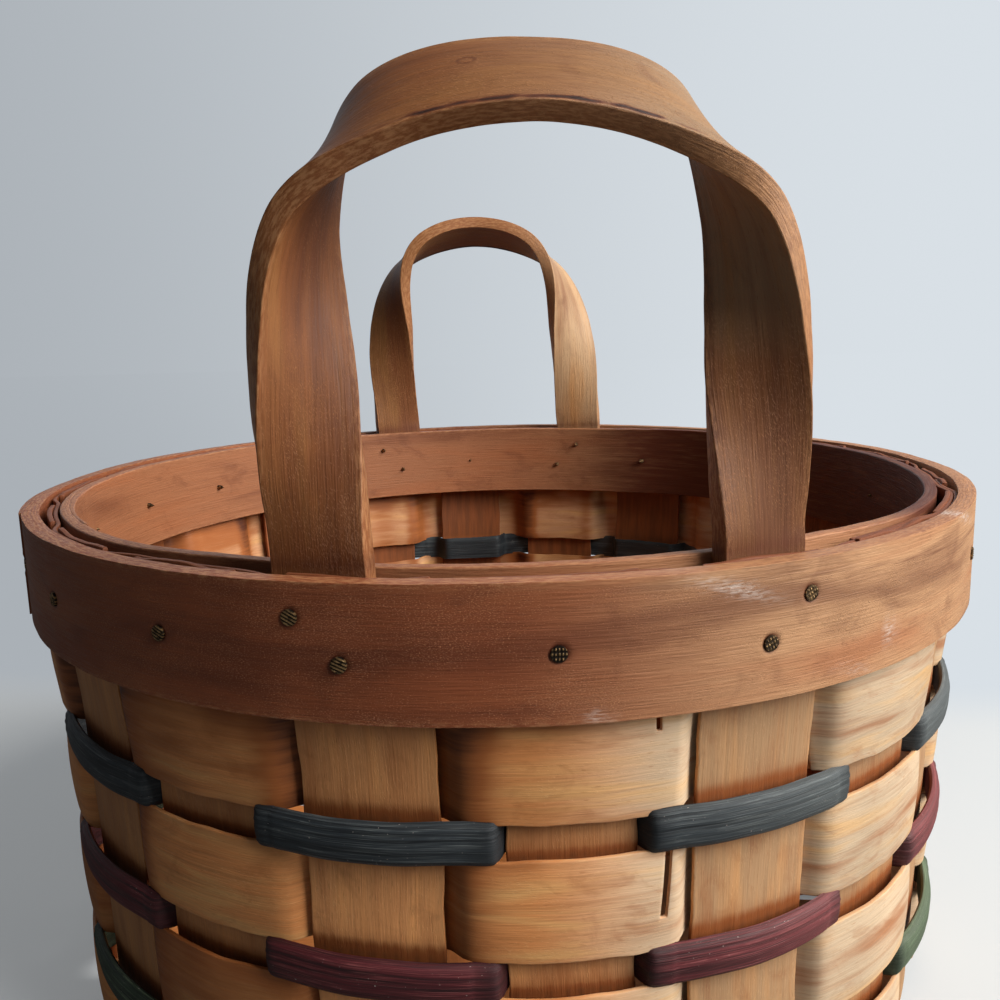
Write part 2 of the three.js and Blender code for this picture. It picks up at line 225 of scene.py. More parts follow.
class Bench:
    """The few ways in which every strip is cut, bent, thickened and rounded."""

    @staticmethod
    def clear() -> None:
        """Deselects everything."""
        bpy.ops.object.select_all(action="DESELECT")

    @staticmethod
    def take(piece: Piece) -> None:
        """Makes a piece the only selected and active one."""
        Bench.clear()
        piece.select_set(True)
        bpy.context.view_layer.objects.active = piece

    @staticmethod
    def lay(
        name: str,
        along: Array,
        across: Array,
        surface: Surface,
        marks: dict[str, Surface],
        grain: tuple[float, float] = (0.0, 0.0),
    ) -> Piece:
        """Lays a grid over a surface, with a UV map in metres of the strip's own length.

        Args:
            name: the piece's name.
            along: the places of the columns, in metres.
            across: the places of the rows, in metres.
            surface: gives the point at each place along and across.
            marks: named values to keep at each point, such as wear.
            grain: moves the grain, so that no two strips look alike.

        Returns:
            The laid sheet, with no thickness yet.
        """
        columns, rows = len(along) - 1, len(across) - 1
        Bench.clear()
        bpy.ops.mesh.primitive_grid_add(x_subdivisions=columns, y_subdivisions=rows, size=1)
        piece = bpy.context.object
        piece.name = name
        mesh = piece.data
        mesh.name = name
        spots = np.empty(len(mesh.vertices) * 3)
        mesh.vertices.foreach_get("co", spots)
        spots = spots.reshape(-1, 3) + 0.5
        u = along[np.rint(spots[:, 0] * columns).astype(int)]
        v = across[np.rint(spots[:, 1] * rows).astype(int)]
        mesh.vertices.foreach_set("co", surface(u, v).ravel())
        corners = np.empty(len(mesh.loops), dtype=int)
        mesh.loops.foreach_get("vertex_index", corners)
        chart = np.stack([u[corners] + grain[0], v[corners] + grain[1]], axis=1)
        mesh.uv_layers.active.data.foreach_set("uv", chart.ravel())
        for mark, value in marks.items():
            mesh.attributes.new(mark, "FLOAT", "POINT").data.foreach_set("value", value(u, v))
        mesh.update()
        return piece

    @staticmethod
    def apply(piece: Piece, kind: str, **settings: object) -> None:
        """Adds a modifier with its settings and applies it."""
        Bench.take(piece)
        modifier = piece.modifiers.new(kind.lower(), kind)
        for key, value in settings.items():
            setattr(modifier, key, value)
        bpy.ops.object.modifier_apply(modifier=modifier.name)

    @staticmethod
    def thicken(piece: Piece, thickness: float, side: float = 0.0,
                thin_group: str = "", thinnest: float = 1.0) -> None:
        """Gives a sheet its thickness and marks how far through it each point lies.

        Args:
            piece: the laid sheet.
            thickness: the full thickness.
            side: 0 for both sides of the sheet, -1 for behind it.
            thin_group: a vertex group whose weight thins the strip, if any.
            thinnest: the share of the thickness that is left at weight 0.
        """
        sheet = len(piece.data.vertices)
        Bench.apply(
            piece,
            "SOLIDIFY",
            thickness=thickness,
            offset=side,
            use_even_offset=not thin_group,
            use_quality_normals=True,
            vertex_group=thin_group,
            thickness_vertex_group=thinnest if thin_group else 0.0,
        )
        through = np.ones(len(piece.data.vertices))
        through[sheet:] = -1
        mark = piece.data.attributes.new("through", "FLOAT", "POINT")
        mark.data.foreach_set("value", through)

    @staticmethod
    def weigh(piece: Piece, name: str, weights: Array) -> None:
        """Keeps one weight for each point in a named vertex group."""
        group = piece.vertex_groups.new(name=name)
        for index, weight in enumerate(weights):
            group.add([index], float(weight), "REPLACE")

    @staticmethod
    def soften(piece: Piece, radius: float, segments: int = 2) -> None:
        """Rounds a strip's square edges and smooths its shading."""
        Bench.apply(
            piece,
            "BEVEL",
            width=radius,
            segments=segments,
            limit_method="ANGLE",
            angle_limit=math.radians(50),
            miter_outer="MITER_ARC",
            use_clamp_overlap=True,
        )
        Bench.smooth(piece)

    @staticmethod
    def smooth(piece: Piece, angle: float = 42.0) -> None:
        """Smooths the shading of faces that meet at less than an angle in degrees."""
        Bench.take(piece)
        bpy.ops.object.shade_smooth_by_angle(angle=math.radians(angle))

    @staticmethod
    def cut_slit(piece: Piece, inside: Surface) -> None:
        """Takes out the faces of a laid sheet whose middle lies inside a slit.

        Args:
            piece: the laid sheet.
            inside: says which places of the chart lie in the slit.
        """
        chart = np.empty(len(piece.data.loops) * 2)
        piece.data.uv_layers.active.data.foreach_get("uv", chart)
        middle = chart.reshape(-1, 4, 2).mean(axis=1)
        Bench.take(piece)
        bpy.ops.object.mode_set(mode="EDIT")
        bpy.ops.mesh.select_mode(type="FACE")
        bpy.ops.mesh.select_all(action="DESELECT")
        bpy.ops.object.mode_set(mode="OBJECT")
        piece.data.polygons.foreach_set("select", inside(middle[:, 0], middle[:, 1]))
        bpy.ops.object.mode_set(mode="EDIT")
        bpy.ops.mesh.delete(type="FACE")
        bpy.ops.object.mode_set(mode="OBJECT")

    @staticmethod
    def hand_over(
        piece: Piece, material: Material, slot: str, *nodes: str
    ) -> None:
        """Dresses a finished piece and puts it in the frame in place of its nodes."""
        piece.data.materials.clear()
        piece.data.materials.append(material)
        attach(piece, BODY)
        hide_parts(*nodes)
        log.info("%s: %d faces", piece.name, len(piece.data.polygons))


class Value:
    """One output of a node, with the arithmetic that adds the next node."""

    def __init__(self, shader: Shader, socket: bpy.types.NodeSocket) -> None:
        """Keeps the output and the shader that it belongs to."""
        self.shader = shader
        self.socket = socket

    def __add__(self, other: Source) -> Value:
        """Adds a value."""
        return self.shader.math("ADD", self, other)

    def __sub__(self, other: Source) -> Value:
        """Takes a value away."""
        return self.shader.math("SUBTRACT", self, other)

    def __mul__(self, other: Source) -> Value:
        """Multiplies by a value."""
        return self.shader.math("MULTIPLY", self, other)


Source = Value | float | tuple[float, ...]
Inputs = dict[str | int, Source]


@dataclass(frozen=True)
class Pattern:
    """A soft noise, by its features' length, width and depth in metres."""

    sizes: tuple[float, float, float]
    detail: float = 3.0
    rough: float = 0.6
    bend: float = 0.0
    turn: float = 0.0


FIBRES = Pattern((10 * MM, 0.4 * MM, 0.4 * MM))
GROWTH_LINES = Pattern((100 * MM, 1.9 * MM, 1.9 * MM), detail=4, bend=0.2)
PORES = Pattern((2.4 * MM, 0.22 * MM, 0.22 * MM), detail=1, rough=0.5)
BLOTCHES = Pattern((13 * MM, 8 * MM, 8 * MM), detail=4, bend=0.8, turn=12)
ROUGH_PATCHES = Pattern((22 * MM, 10 * MM, 10 * MM), turn=8)
FUZZ = Pattern((2.2 * MM, 0.5 * MM, 0.5 * MM), rough=0.65)
# Breaks up the grime and the painted shade.
GRIME_AND_SHADE_NOISE = Pattern((16 * MM, 1.6 * MM, 1.6 * MM))
RIBS = Pattern((60 * MM, 0.9 * MM, 0.9 * MM), detail=4, rough=0.65, bend=0.15)
HAIRS = Pattern((14 * MM, 0.2 * MM, 0.2 * MM), detail=2)
DUST = Pattern((11 * MM, 4 * MM, 4 * MM), detail=4, rough=0.65, bend=0.6)
GRIT = Pattern((0.7 * MM, 0.5 * MM, 0.5 * MM), detail=1, rough=0.5)
TARNISH = Pattern((0.9 * MM, 0.9 * MM, 0.9 * MM))
CHALK = tint(214, 200, 190)
BAND_STAIN = tint(122, 68, 40)


class Shader:
    """Wires one node tree, step by step."""

    def __init__(self, owner: Material | bpy.types.World) -> None:
        """Takes up the nodes of a material or a world."""
        owner.use_nodes = True
        self.owner = owner
        self.tree = owner.node_tree

    def feed(self, node: str | bpy.types.Node, inputs: Inputs) -> None:
        """Links a node's inputs to their sources, or sets those that are plain values."""
        node = self.tree.nodes[node] if isinstance(node, str) else node
        for key, source in inputs.items():
            if isinstance(source, Value):
                self.tree.links.new(source.socket, node.inputs[key])
            else:
                node.inputs[key].default_value = source

    def node(self, kind: str, inputs: Inputs, **settings: object) -> bpy.types.Node:
        """Adds a node with its settings and its inputs."""
        node = self.tree.nodes.new(kind)
        for key, value in settings.items():
            setattr(node, key, value)
        self.feed(node, inputs)
        return node

    def read(self, kind: str, inputs: Inputs | None = None, output: str | int = 0,
             **settings: object) -> Value:
        """Adds a node and reads one of its outputs."""
        return Value(self, self.node(kind, inputs or {}, **settings).outputs[output])

    def mark(self, name: str) -> Value:
        """Reads a value that the mesh keeps at its points."""
        return self.read("ShaderNodeAttribute", output="Fac", attribute_name=name)

    def split(self, vector: Value) -> list[Value]:
        """Takes a vector apart."""
        parts = self.node("ShaderNodeSeparateXYZ", {0: vector}).outputs
        return [Value(self, part) for part in parts]

    def join(self, *parts: Source) -> Value:
        """Makes a vector of three parts."""
        return self.read("ShaderNodeCombineXYZ", dict(enumerate(parts)))

    def grain(self, depth: float) -> Value:
        """Gives the place in the wood: along the strip, across it and through it.

        Args:
            depth: half the thickness that the wood has.

        Returns:
            The place as a vector, in metres.
        """
        along, across, _ = self.split(self.read("ShaderNodeUVMap", uv_map="UVMap"))
        return self.join(along, across, self.mark("through") * depth)

    def math(self, step: str, first: Source, second: Source = 0.0, clamp: bool = False
             ) -> Value:
        """Adds one step of arithmetic."""
        return self.read("ShaderNodeMath", {0: first, 1: second}, operation=step,
                         use_clamp=clamp)

    def vector_math(self, step: str, first: Source, second: Source = (0.0, 0.0, 0.0),
                    output: str | int = 0) -> Value:
        """Adds one step of arithmetic with vectors."""
        return self.read("ShaderNodeVectorMath", {0: first, 1: second}, output, operation=step)

    def span(self, value: Source, low: float, high: float, out_low: float = 0.0,
             out_high: float = 1.0) -> Value:
        """Maps a range onto another smoothly, held at both ends."""
        sources = dict(enumerate((value, low, high, out_low, out_high)))
        return self.read("ShaderNodeMapRange", sources, interpolation_type="SMOOTHSTEP",
                         clamp=True)

    def mix(self, share: Source, first: Source, second: Source, way: str = "MIX") -> Value:
        """Mixes two colours."""
        return self.read("ShaderNodeMix", {0: share, 6: first, 7: second}, 2,
                         data_type="RGBA", blend_type=way)

    def layer(self, colour: Source, *layers: tuple[Source, Source]) -> Value:
        """Lays colours over a first one, each by its own share."""
        for share, over in layers:
            colour = self.mix(share, colour, over)
        return colour

    def noise(self, place: Value, pattern: Pattern) -> Value:
        """Reads a soft noise.

        Args:
            place: the place in metres.
            pattern: the noise's sizes and its slant to the grain.

        Returns:
            The noise, mostly between 0.3 and 0.7.
        """
        turned = self.read("ShaderNodeMapping", {
            "Vector": place, "Rotation": (0.0, 0.0, math.radians(pattern.turn))})
        scaled = self.read("ShaderNodeMapping", {
            "Vector": turned, "Scale": tuple(1 / size for size in pattern.sizes)})
        return self.read("ShaderNodeTexNoise", {
            "Vector": scaled, "Scale": 1.0, "Detail": pattern.detail,
            "Roughness": pattern.rough, "Distortion": pattern.bend}, "Fac")

    def bump(self, height: Value, distance: float) -> Value:
        """Raises the surface by a height map."""
        return self.read("ShaderNodeBump", {
            "Strength": 1.0, "Distance": distance, "Height": height})


@dataclass(frozen=True)
class WoodFinish:
    """A wood whose grain, fibres, pores, stains and wear follow its strip."""

    name: str
    dark: Colour
    body: Colour
    light: Colour
    pale: Colour
    worn: Colour
    # The colour of grime and of painted shade.
    grime: Colour
    fleck: Colour
    fleck_share: float
    cloud_share: float
    line_share: float
    fibre_share: float
    relief: float
    roughness: float
    coat: float = 0.0
    coat_roughness: float = 0.38
    refraction: float = 1.48
    specular: float = 0.35
    stain_share: float = 0.35
    pore_share: float = 0.4
    tone_share: float = 0.12
    half_thickness: float = 0.6 * MM
    fleck_pattern: Pattern = Pattern((1.0 * MM, 0.26 * MM, 0.4 * MM), 2, turn=4)
    clouds: Pattern = Pattern((80 * MM, 12 * MM, 12 * MM), rough=0.5, bend=0.4)
    inner_pale: float = 0.0
    knots: tuple[tuple[float, float], ...] = ()
    knot_radius: float = 0.8 * MM
    knot_line: float = 0.34 * MM
    knot_share: float = 0.8
    knot_stretch: float = 0.6

    def material(self) -> Material:
        """Builds the material.

        Returns:
            The finished wood.
        """
        wood = Shader(bpy.data.materials.new(self.name))
        place = wood.grain(self.half_thickness)
        fibres, lines = wood.noise(place, FIBRES), wood.noise(place, GROWTH_LINES)
        flecks = self.raised_flecks(wood, place)
        colour = self.figure(wood, place, lines, fibres)
        colour = wood.mix(flecks * 0.6, colour, self.fleck)
        colour = self.wear(wood, place, colour)
        smoothest, roughest = self.roughness - 0.07, self.roughness + 0.1
        wood.feed("Principled BSDF", {
            "Base Color": wood.mix(wood.mark("stain"), colour, BAND_STAIN),
            "Roughness": wood.span(fibres, 0.3, 0.7, smoothest, roughest),
            "Coat Weight": self.coat,
            "Coat Roughness": self.coat_roughness,
            "IOR": self.refraction,
            "Specular IOR Level": self.specular,
            "Normal": wood.bump(lines * 0.6 + fibres + flecks * 0.7, self.relief),
        })
        return wood.owner

    def figure(self, wood: Shader, place: Value, lines: Value, fibres: Value) -> Value:
        """Gives the wood's own colour: clouds, growth lines, fibres, pores and blotches.

        Args:
            wood: the node tree to work in.
            place: the place in the wood.
            lines: the growth lines' noise.
            fibres: the fibres' noise.

        Returns:
            The colour of clean wood.
        """
        cloud = wood.noise(place, self.clouds)
        inside = wood.span(wood.mark("through"), -0.6, -0.9, 0.0, self.inner_pale)
        colour = wood.layer(
            self.body,
            # The pale mark is partly bleached wood and partly a painted sheen on the side toward
            # the light.
            (wood.math("MAXIMUM", wood.mark("pale"), inside), self.pale),
            (wood.span(cloud, 0.48, 0.72) * self.cloud_share, self.light),
            (wood.span(cloud, 0.5, 0.28) * self.cloud_share, self.dark),
            (wood.span(lines, 0.52, 0.72) * self.line_share, self.dark),
            (wood.span(lines, 0.46, 0.28) * (0.6 * self.line_share), self.light),
        )
        thread = wood.span(fibres, 0.3, 0.7, -self.fibre_share, self.fibre_share)
        factor = wood.mark("tone") * self.tone_share + (thread + 1.0)
        shaded = wood.mix(1.0, colour, wood.join(factor, factor, factor), "MULTIPLY")
        return wood.layer(
            shaded,
            (wood.span(wood.noise(place, PORES), 0.64, 0.76) * self.pore_share, self.dark),
            (wood.span(wood.noise(place, BLOTCHES), 0.5, 0.75) * self.stain_share, self.dark),
            *((self.ring(wood, place, knot), self.dark) for knot in self.knots),
        )

    def ring(self, wood: Shader, place: Value, knot: tuple[float, float]) -> Value:
        """Draws the thin dark oval of a pin knot.

        Args:
            wood: the node tree to work in.
            place: the place in the wood.
            knot: the middle of the oval on the chart.

        Returns:
            How dark the oval's line is.
        """
        squeezed = wood.vector_math("MULTIPLY", place, (self.knot_stretch, 1.0, 0.0))
        middle = (self.knot_stretch * knot[0], knot[1], 0.0)
        away = wood.vector_math("DISTANCE", squeezed, middle, "Value")
        off = wood.math("ABSOLUTE", away - self.knot_radius)
        return wood.span(off, self.knot_line, 0.0) * self.knot_share

    def raised_flecks(self, wood: Shader, place: Value) -> Value:
        """Gives the short raised fibres that catch the light, more where it is rough."""
        patch = wood.span(wood.noise(place, ROUGH_PATCHES), 0.3, 0.7, 0.66, 0.54)
        over = wood.noise(place, self.fleck_pattern) - patch
        fleck = wood.math("MULTIPLY", over, 9.0, clamp=True)
        rough = wood.math("SUBTRACT", 1.0, wood.mark("smooth"), clamp=True)
        return fleck * rough * self.fleck_share

    def wear(self, wood: Shader, place: Value, colour: Value) -> Value:
        """Adds the pale edges and cut faces, grime with painted shade where strips cross and meet,
        and chalk.
        """
        fuzz = wood.noise(place, FUZZ)
        cut = wood.mix(wood.span(fuzz, 0.36, 0.68, 0.0, 0.4), self.body, self.worn)
        is_cut = wood.span(wood.math("ABSOLUTE", wood.mark("through")), 1.0, 0.9)
        # The grime mark is grime together with painted shade: in creases, under the rim and where
        # strips pass behind others.
        grime_and_shade_amount = wood.mark("grime") * wood.span(wood.noise(place, GRIME_AND_SHADE_NOISE), 0.25, 0.7, 0.75, 1.1)
        return wood.layer(
            colour,
            (is_cut * 0.45, cut),
            (wood.mark("edge") * wood.span(fuzz, 0.42, 0.62) * 0.6, self.worn),
            (wood.span(grime_and_shade_amount, 0.0, 0.5), self.dark),
            (wood.span(grime_and_shade_amount, 0.4, 1.1), self.grime),
            (wood.mark("chalk") * wood.span(fuzz, 0.38, 0.6), CHALK),
        )


@dataclass(frozen=True)
class ReedFinish:
    """A dyed reed, ribbed along its length, with dusty rubbed ridges, a painted sheen on the side
    toward the light and painted shade, with some grime, where it passes behind the stakes.
    """

    name: str
    deep: Colour
    body: Colour
    rubbed_and_sheen: Colour
    half_thickness: float = 1 * MM
    relief: float = 0.22 * MM
    specular: float = 0.4

    def material(self) -> Material:
        """Builds the material.

        Returns:
            The finished reed.
        """
        reed = Shader(bpy.data.materials.new(self.name))
        place = reed.grain(self.half_thickness)
        ribs, hairs, dust, grit = (reed.noise(place, it) for it in (RIBS, HAIRS, DUST, GRIT))
        reed.feed("Principled BSDF", {
            "Base Color": reed.layer(
                self.deep,
                (reed.span(ribs, 0.34, 0.62), self.body),
                (reed.span(hairs, 0.54, 0.74) * 0.55, self.rubbed_and_sheen),
                (reed.span(ribs, 0.5, 0.68) * reed.span(dust, 0.42, 0.66) * 0.6, self.rubbed_and_sheen),
                (reed.span(grit, 0.72, 0.78) * reed.span(dust, 0.45, 0.6) * 0.8, CHALK),
                # Painted sheen on the side toward the light.
                (reed.mark("pale") * 0.3, self.rubbed_and_sheen),
                # Painted shade, with some grime, where the reed passes behind a stake.
                (reed.mark("grime") * 0.85, self.deep),
            ),
            "Roughness": reed.span(ribs, 0.3, 0.7, 0.52, 0.66),
            "Specular IOR Level": self.specular,
            "Normal": reed.bump(ribs + hairs * 0.5, self.relief),
        })
        return reed.owner


@dataclass(frozen=True)
class NailFinish:
    """Tarnished steel, bright on the ridges of the hatched head and dark between."""

    name: str = "tarnished_nail"
    dark: Colour = tint(38, 30, 24)
    bright: Colour = tint(188, 152, 104)
    metal: float = 0.85
    relief: float = 0.05 * MM

    def material(self) -> Material:
        """Builds the material.

        Returns:
            The finished metal.
        """
        steel = Shader(bpy.data.materials.new(self.name))
        place = steel.read("ShaderNodeTexCoord", output="Object")
        tarnish = steel.noise(place, TARNISH)
        shine = steel.mark("ridge") * steel.span(tarnish, 0.3, 0.6)
        steel.feed("Principled BSDF", {
            "Base Color": steel.mix(shine, self.dark, self.bright),
            "Metallic": self.metal,
            "Roughness": steel.span(shine, 0.0, 1.0, 0.6, 0.34),
            "Normal": steel.bump(tarnish, self.relief),
        })
        return steel.owner


BAND_WOOD = WoodFinish(
    name="stained_band_wood",
    dark=tint(88, 40, 20),
    body=tint(134, 71, 40),
    light=tint(158, 92, 54),
    pale=tint(180, 136, 98),
    worn=tint(188, 134, 92),
    grime=tint(40, 24, 17),
    fleck=tint(226, 158, 104),
    fleck_share=0.7,
    cloud_share=0.6,
    line_share=0.2,
    fibre_share=0.05,
    relief=0.16 * MM,
    roughness=0.56,
    coat=0.03,
    half_thickness=2 * MM,
    fleck_pattern=Pattern((0.42 * MM, 0.14 * MM, 0.2 * MM), 2, turn=10),
)
HANDLE_WOOD = WoodFinish(
    name="stained_handle_wood",
    dark=tint(92, 47, 25),
    body=tint(142, 85, 45),
    light=tint(168, 116, 62),
    pale=tint(160, 130, 98),
    worn=tint(184, 132, 88),
    grime=tint(44, 24, 18),
    fleck=tint(206, 144, 92),
    fleck_share=0.55,
    cloud_share=0.7,
    line_share=0.22,
    fibre_share=0.07,
    relief=0.14 * MM,
    roughness=0.55,
    coat=0.05,
    half_thickness=2.15 * MM,
    fleck_pattern=Pattern((0.6 * MM, 0.13 * MM, 0.2 * MM), 2, turn=22),
    knots=((55.1237, 25.0117),),
)
STAKE_WOOD = WoodFinish(
    name="plain_stake_wood",
    dark=tint(140, 78, 38),
    body=tint(198, 128, 70),
    light=tint(216, 152, 90),
    pale=tint(168, 132, 96),
    worn=tint(210, 156, 104),
    grime=tint(64, 36, 22),
    fleck=tint(228, 184, 130),
    fleck_share=0.25,
    cloud_share=0.4,
    line_share=0.2,
    fibre_share=0.08,
    relief=0.1 * MM,
    roughness=0.58,
    clouds=Pattern((50 * MM, 7 * MM, 7 * MM), rough=0.5, bend=0.4),
    inner_pale=0.4,
)
SPLINT_WOOD = WoodFinish(
    name="plain_splint_wood",
    dark=tint(158, 92, 46),
    body=tint(214, 142, 84),
    light=tint(226, 176, 112),
    pale=tint(202, 178, 148),
    worn=tint(214, 166, 116),
    grime=tint(72, 34, 18),
    fleck=tint(236, 198, 144),
    fleck_share=0.2,
    cloud_share=0.75,
    line_share=0.28,
    fibre_share=0.07,
    relief=0.08 * MM,
    roughness=0.58,
    stain_share=0.45,
    half_thickness=0.5 * MM,
    clouds=Pattern((45 * MM, 6 * MM, 6 * MM), rough=0.5, bend=0.4),
    inner_pale=0.45,
)


class ReedColour(Enum):
    """The three rows of dyed reed, from the rim down."""

    BLUE = ReedFinish("blue_dyed_reed", tint(22, 27, 31), tint(48, 55, 60), tint(128, 134, 132))
    MAROON = ReedFinish("maroon_dyed_reed", tint(40, 13, 16), tint(92, 30, 36), tint(164, 96, 94))
    GREEN = ReedFinish("green_dyed_reed", tint(20, 30, 20), tint(50, 68, 48), tint(134, 150, 120))

    @property
    def node(self) -> str:
        """Names the row's node."""
        return f"{self.name.lower()}_reed"


@dataclass(frozen=True)
class Wall:
    """The basket's round wall: the rim's radii and the path of the stakes below it."""

    rim_radius: float
    rim_top: float
    band_height: float
    fit_gap: float = 0.3 * MM
    outer_band: float = 4 * MM
    inner_band: float = 3 * MM
    binder: float = 1 * MM
    stake_width: float = 24.4 * MM
    stake: float = 1.2 * MM
    pinch: float = 1 * MM
    draw_in: float = 3 * MM
    foot_bend: float = 6 * MM
    splint_height: float = 20 * MM
    reed_height: float = 7.9 * MM
    handle_width: float = 18.6 * MM
    handle: float = 4.3 * MM
    stakes: int = 20
    band_segments: int = 60

    @classmethod
    def from_frame(cls) -> Wall:
        """Reads the outer rim band's size from the frame."""
        low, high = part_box("outer_rim_band")
        return cls(rim_radius=high.x, rim_top=high.z, band_height=high.z - low.z)

    @property
    def step(self) -> float:
        """Gives the turn from one stake to the next."""
        return 2 * math.pi / self.stakes

    @property
    def stake_top_radius(self) -> float:
        """Gives the radius of the stakes' middle inside the rim."""
        bore = (self.rim_radius - self.outer_band) * math.cos(math.pi / self.band_segments)
        return bore - 2 * self.fit_gap - self.binder - self.stake / 2

    @property
    def stake_half_angle(self) -> float:
        """Gives half the turn that one stake takes up."""
        return math.asin(self.stake_width / 2 / self.stake_top_radius)

    @property
    def leg_outer_plane(self) -> float:
        """Gives how far out the handle legs' outer faces lie."""
        face = (self.stake_top_radius - self.stake / 2) * math.cos(self.stake_half_angle / 2)
        return math.sqrt((face - self.fit_gap) ** 2 - (self.handle_width / 2) ** 2)

    @property
    def leg_radius(self) -> float:
        """Gives the radius of the handle legs' middle."""
        return self.leg_outer_plane - self.handle / 2

    @property
    def base_level(self) -> float:
        """Gives the middle height of the base's two layers."""
        return self.stake + self.fit_gap / 2

    @property
    def foot_top(self) -> float:
        """Gives the height where the wall starts above the foot's bend."""
        return self.base_level + self.foot_bend

    @property
    def height(self) -> float:
        """Gives the wall's height from the foot's bend to the rim's top."""
        return self.rim_top - self.foot_top

    @property
    def row_pitch(self) -> float:
        """Gives the height of one wide weaver and one reed together."""
        return self.splint_height + self.reed_height + 2 * self.fit_gap

    def wide_top(self, row: int) -> float:
        """Gives the depth of a wide weaver's top edge below the rim's top."""
        return self.band_height + self.fit_gap + row * self.row_pitch

    def reed_top(self, row: int) -> float:
        """Gives the depth of a reed's top edge below the rim's top."""
        return self.wide_top(row) + self.splint_height + self.fit_gap

    def seat(self, thickness: float) -> float:
        """Gives how far a weaver's middle lies from a stake's where they cross."""
        return self.stake / 2 + self.fit_gap + thickness / 2

    def radius(self, depth: Array) -> Array:
        """Gives the radius of the stakes' middle at a depth below the rim's top."""
        pinch_end = self.wide_top(0) + self.splint_height
        pinched = ease(depth, self.band_height, pinch_end)
        drawn = np.maximum(0.0, (depth - self.band_height) / (self.height - self.band_height))
        return self.stake_top_radius - self.pinch * pinched - self.draw_in * drawn

    def bleach_and_sheen(self, angle: Array, start: float = -0.08, end: float = 0.18) -> Array:
        """Says how pale the wood is drawn, most on the side that faced a window: partly bleached
        wood, partly a painted sheen where the light falls.
        """
        turned = turn_from(angle)
        return ease(turned, start, end) * ease(np.abs(turned), 3.0, 2.0)

    def stained(self, depth: Array) -> Array:
        """Says where the rim's brown stain has run over what the bands clamp."""
        return ease(depth, self.band_height - 0.2 * MM, self.band_height - 2.5 * MM)

    def weave(self, angle: Array, side: int, wide: Array | float, firmness: float) -> Array:
        """Swings between 1 outside the strip's own stakes and -1 inside the others.

        Args:
            angle: where to look.
            side: 1 for a strip that passes outside the even stakes, -1 for the odd ones.
            wide: how much more of its way the strip stays outside.
            firmness: how steeply it passes between two stakes.

        Returns:
            The swing, with flat tops and short steep ways between them.
        """
        return np.tanh(firmness * (side * np.cos(angle * self.stakes / 2) + wide))

    def belly(self, angle: Array, side: int, bow: Array) -> Array:
        """Gives how much further a strip swings in the middle of the stakes it covers."""
        return 1 + 0.3 * np.maximum(0, side * np.cos(angle * self.stakes / 2)) * bow


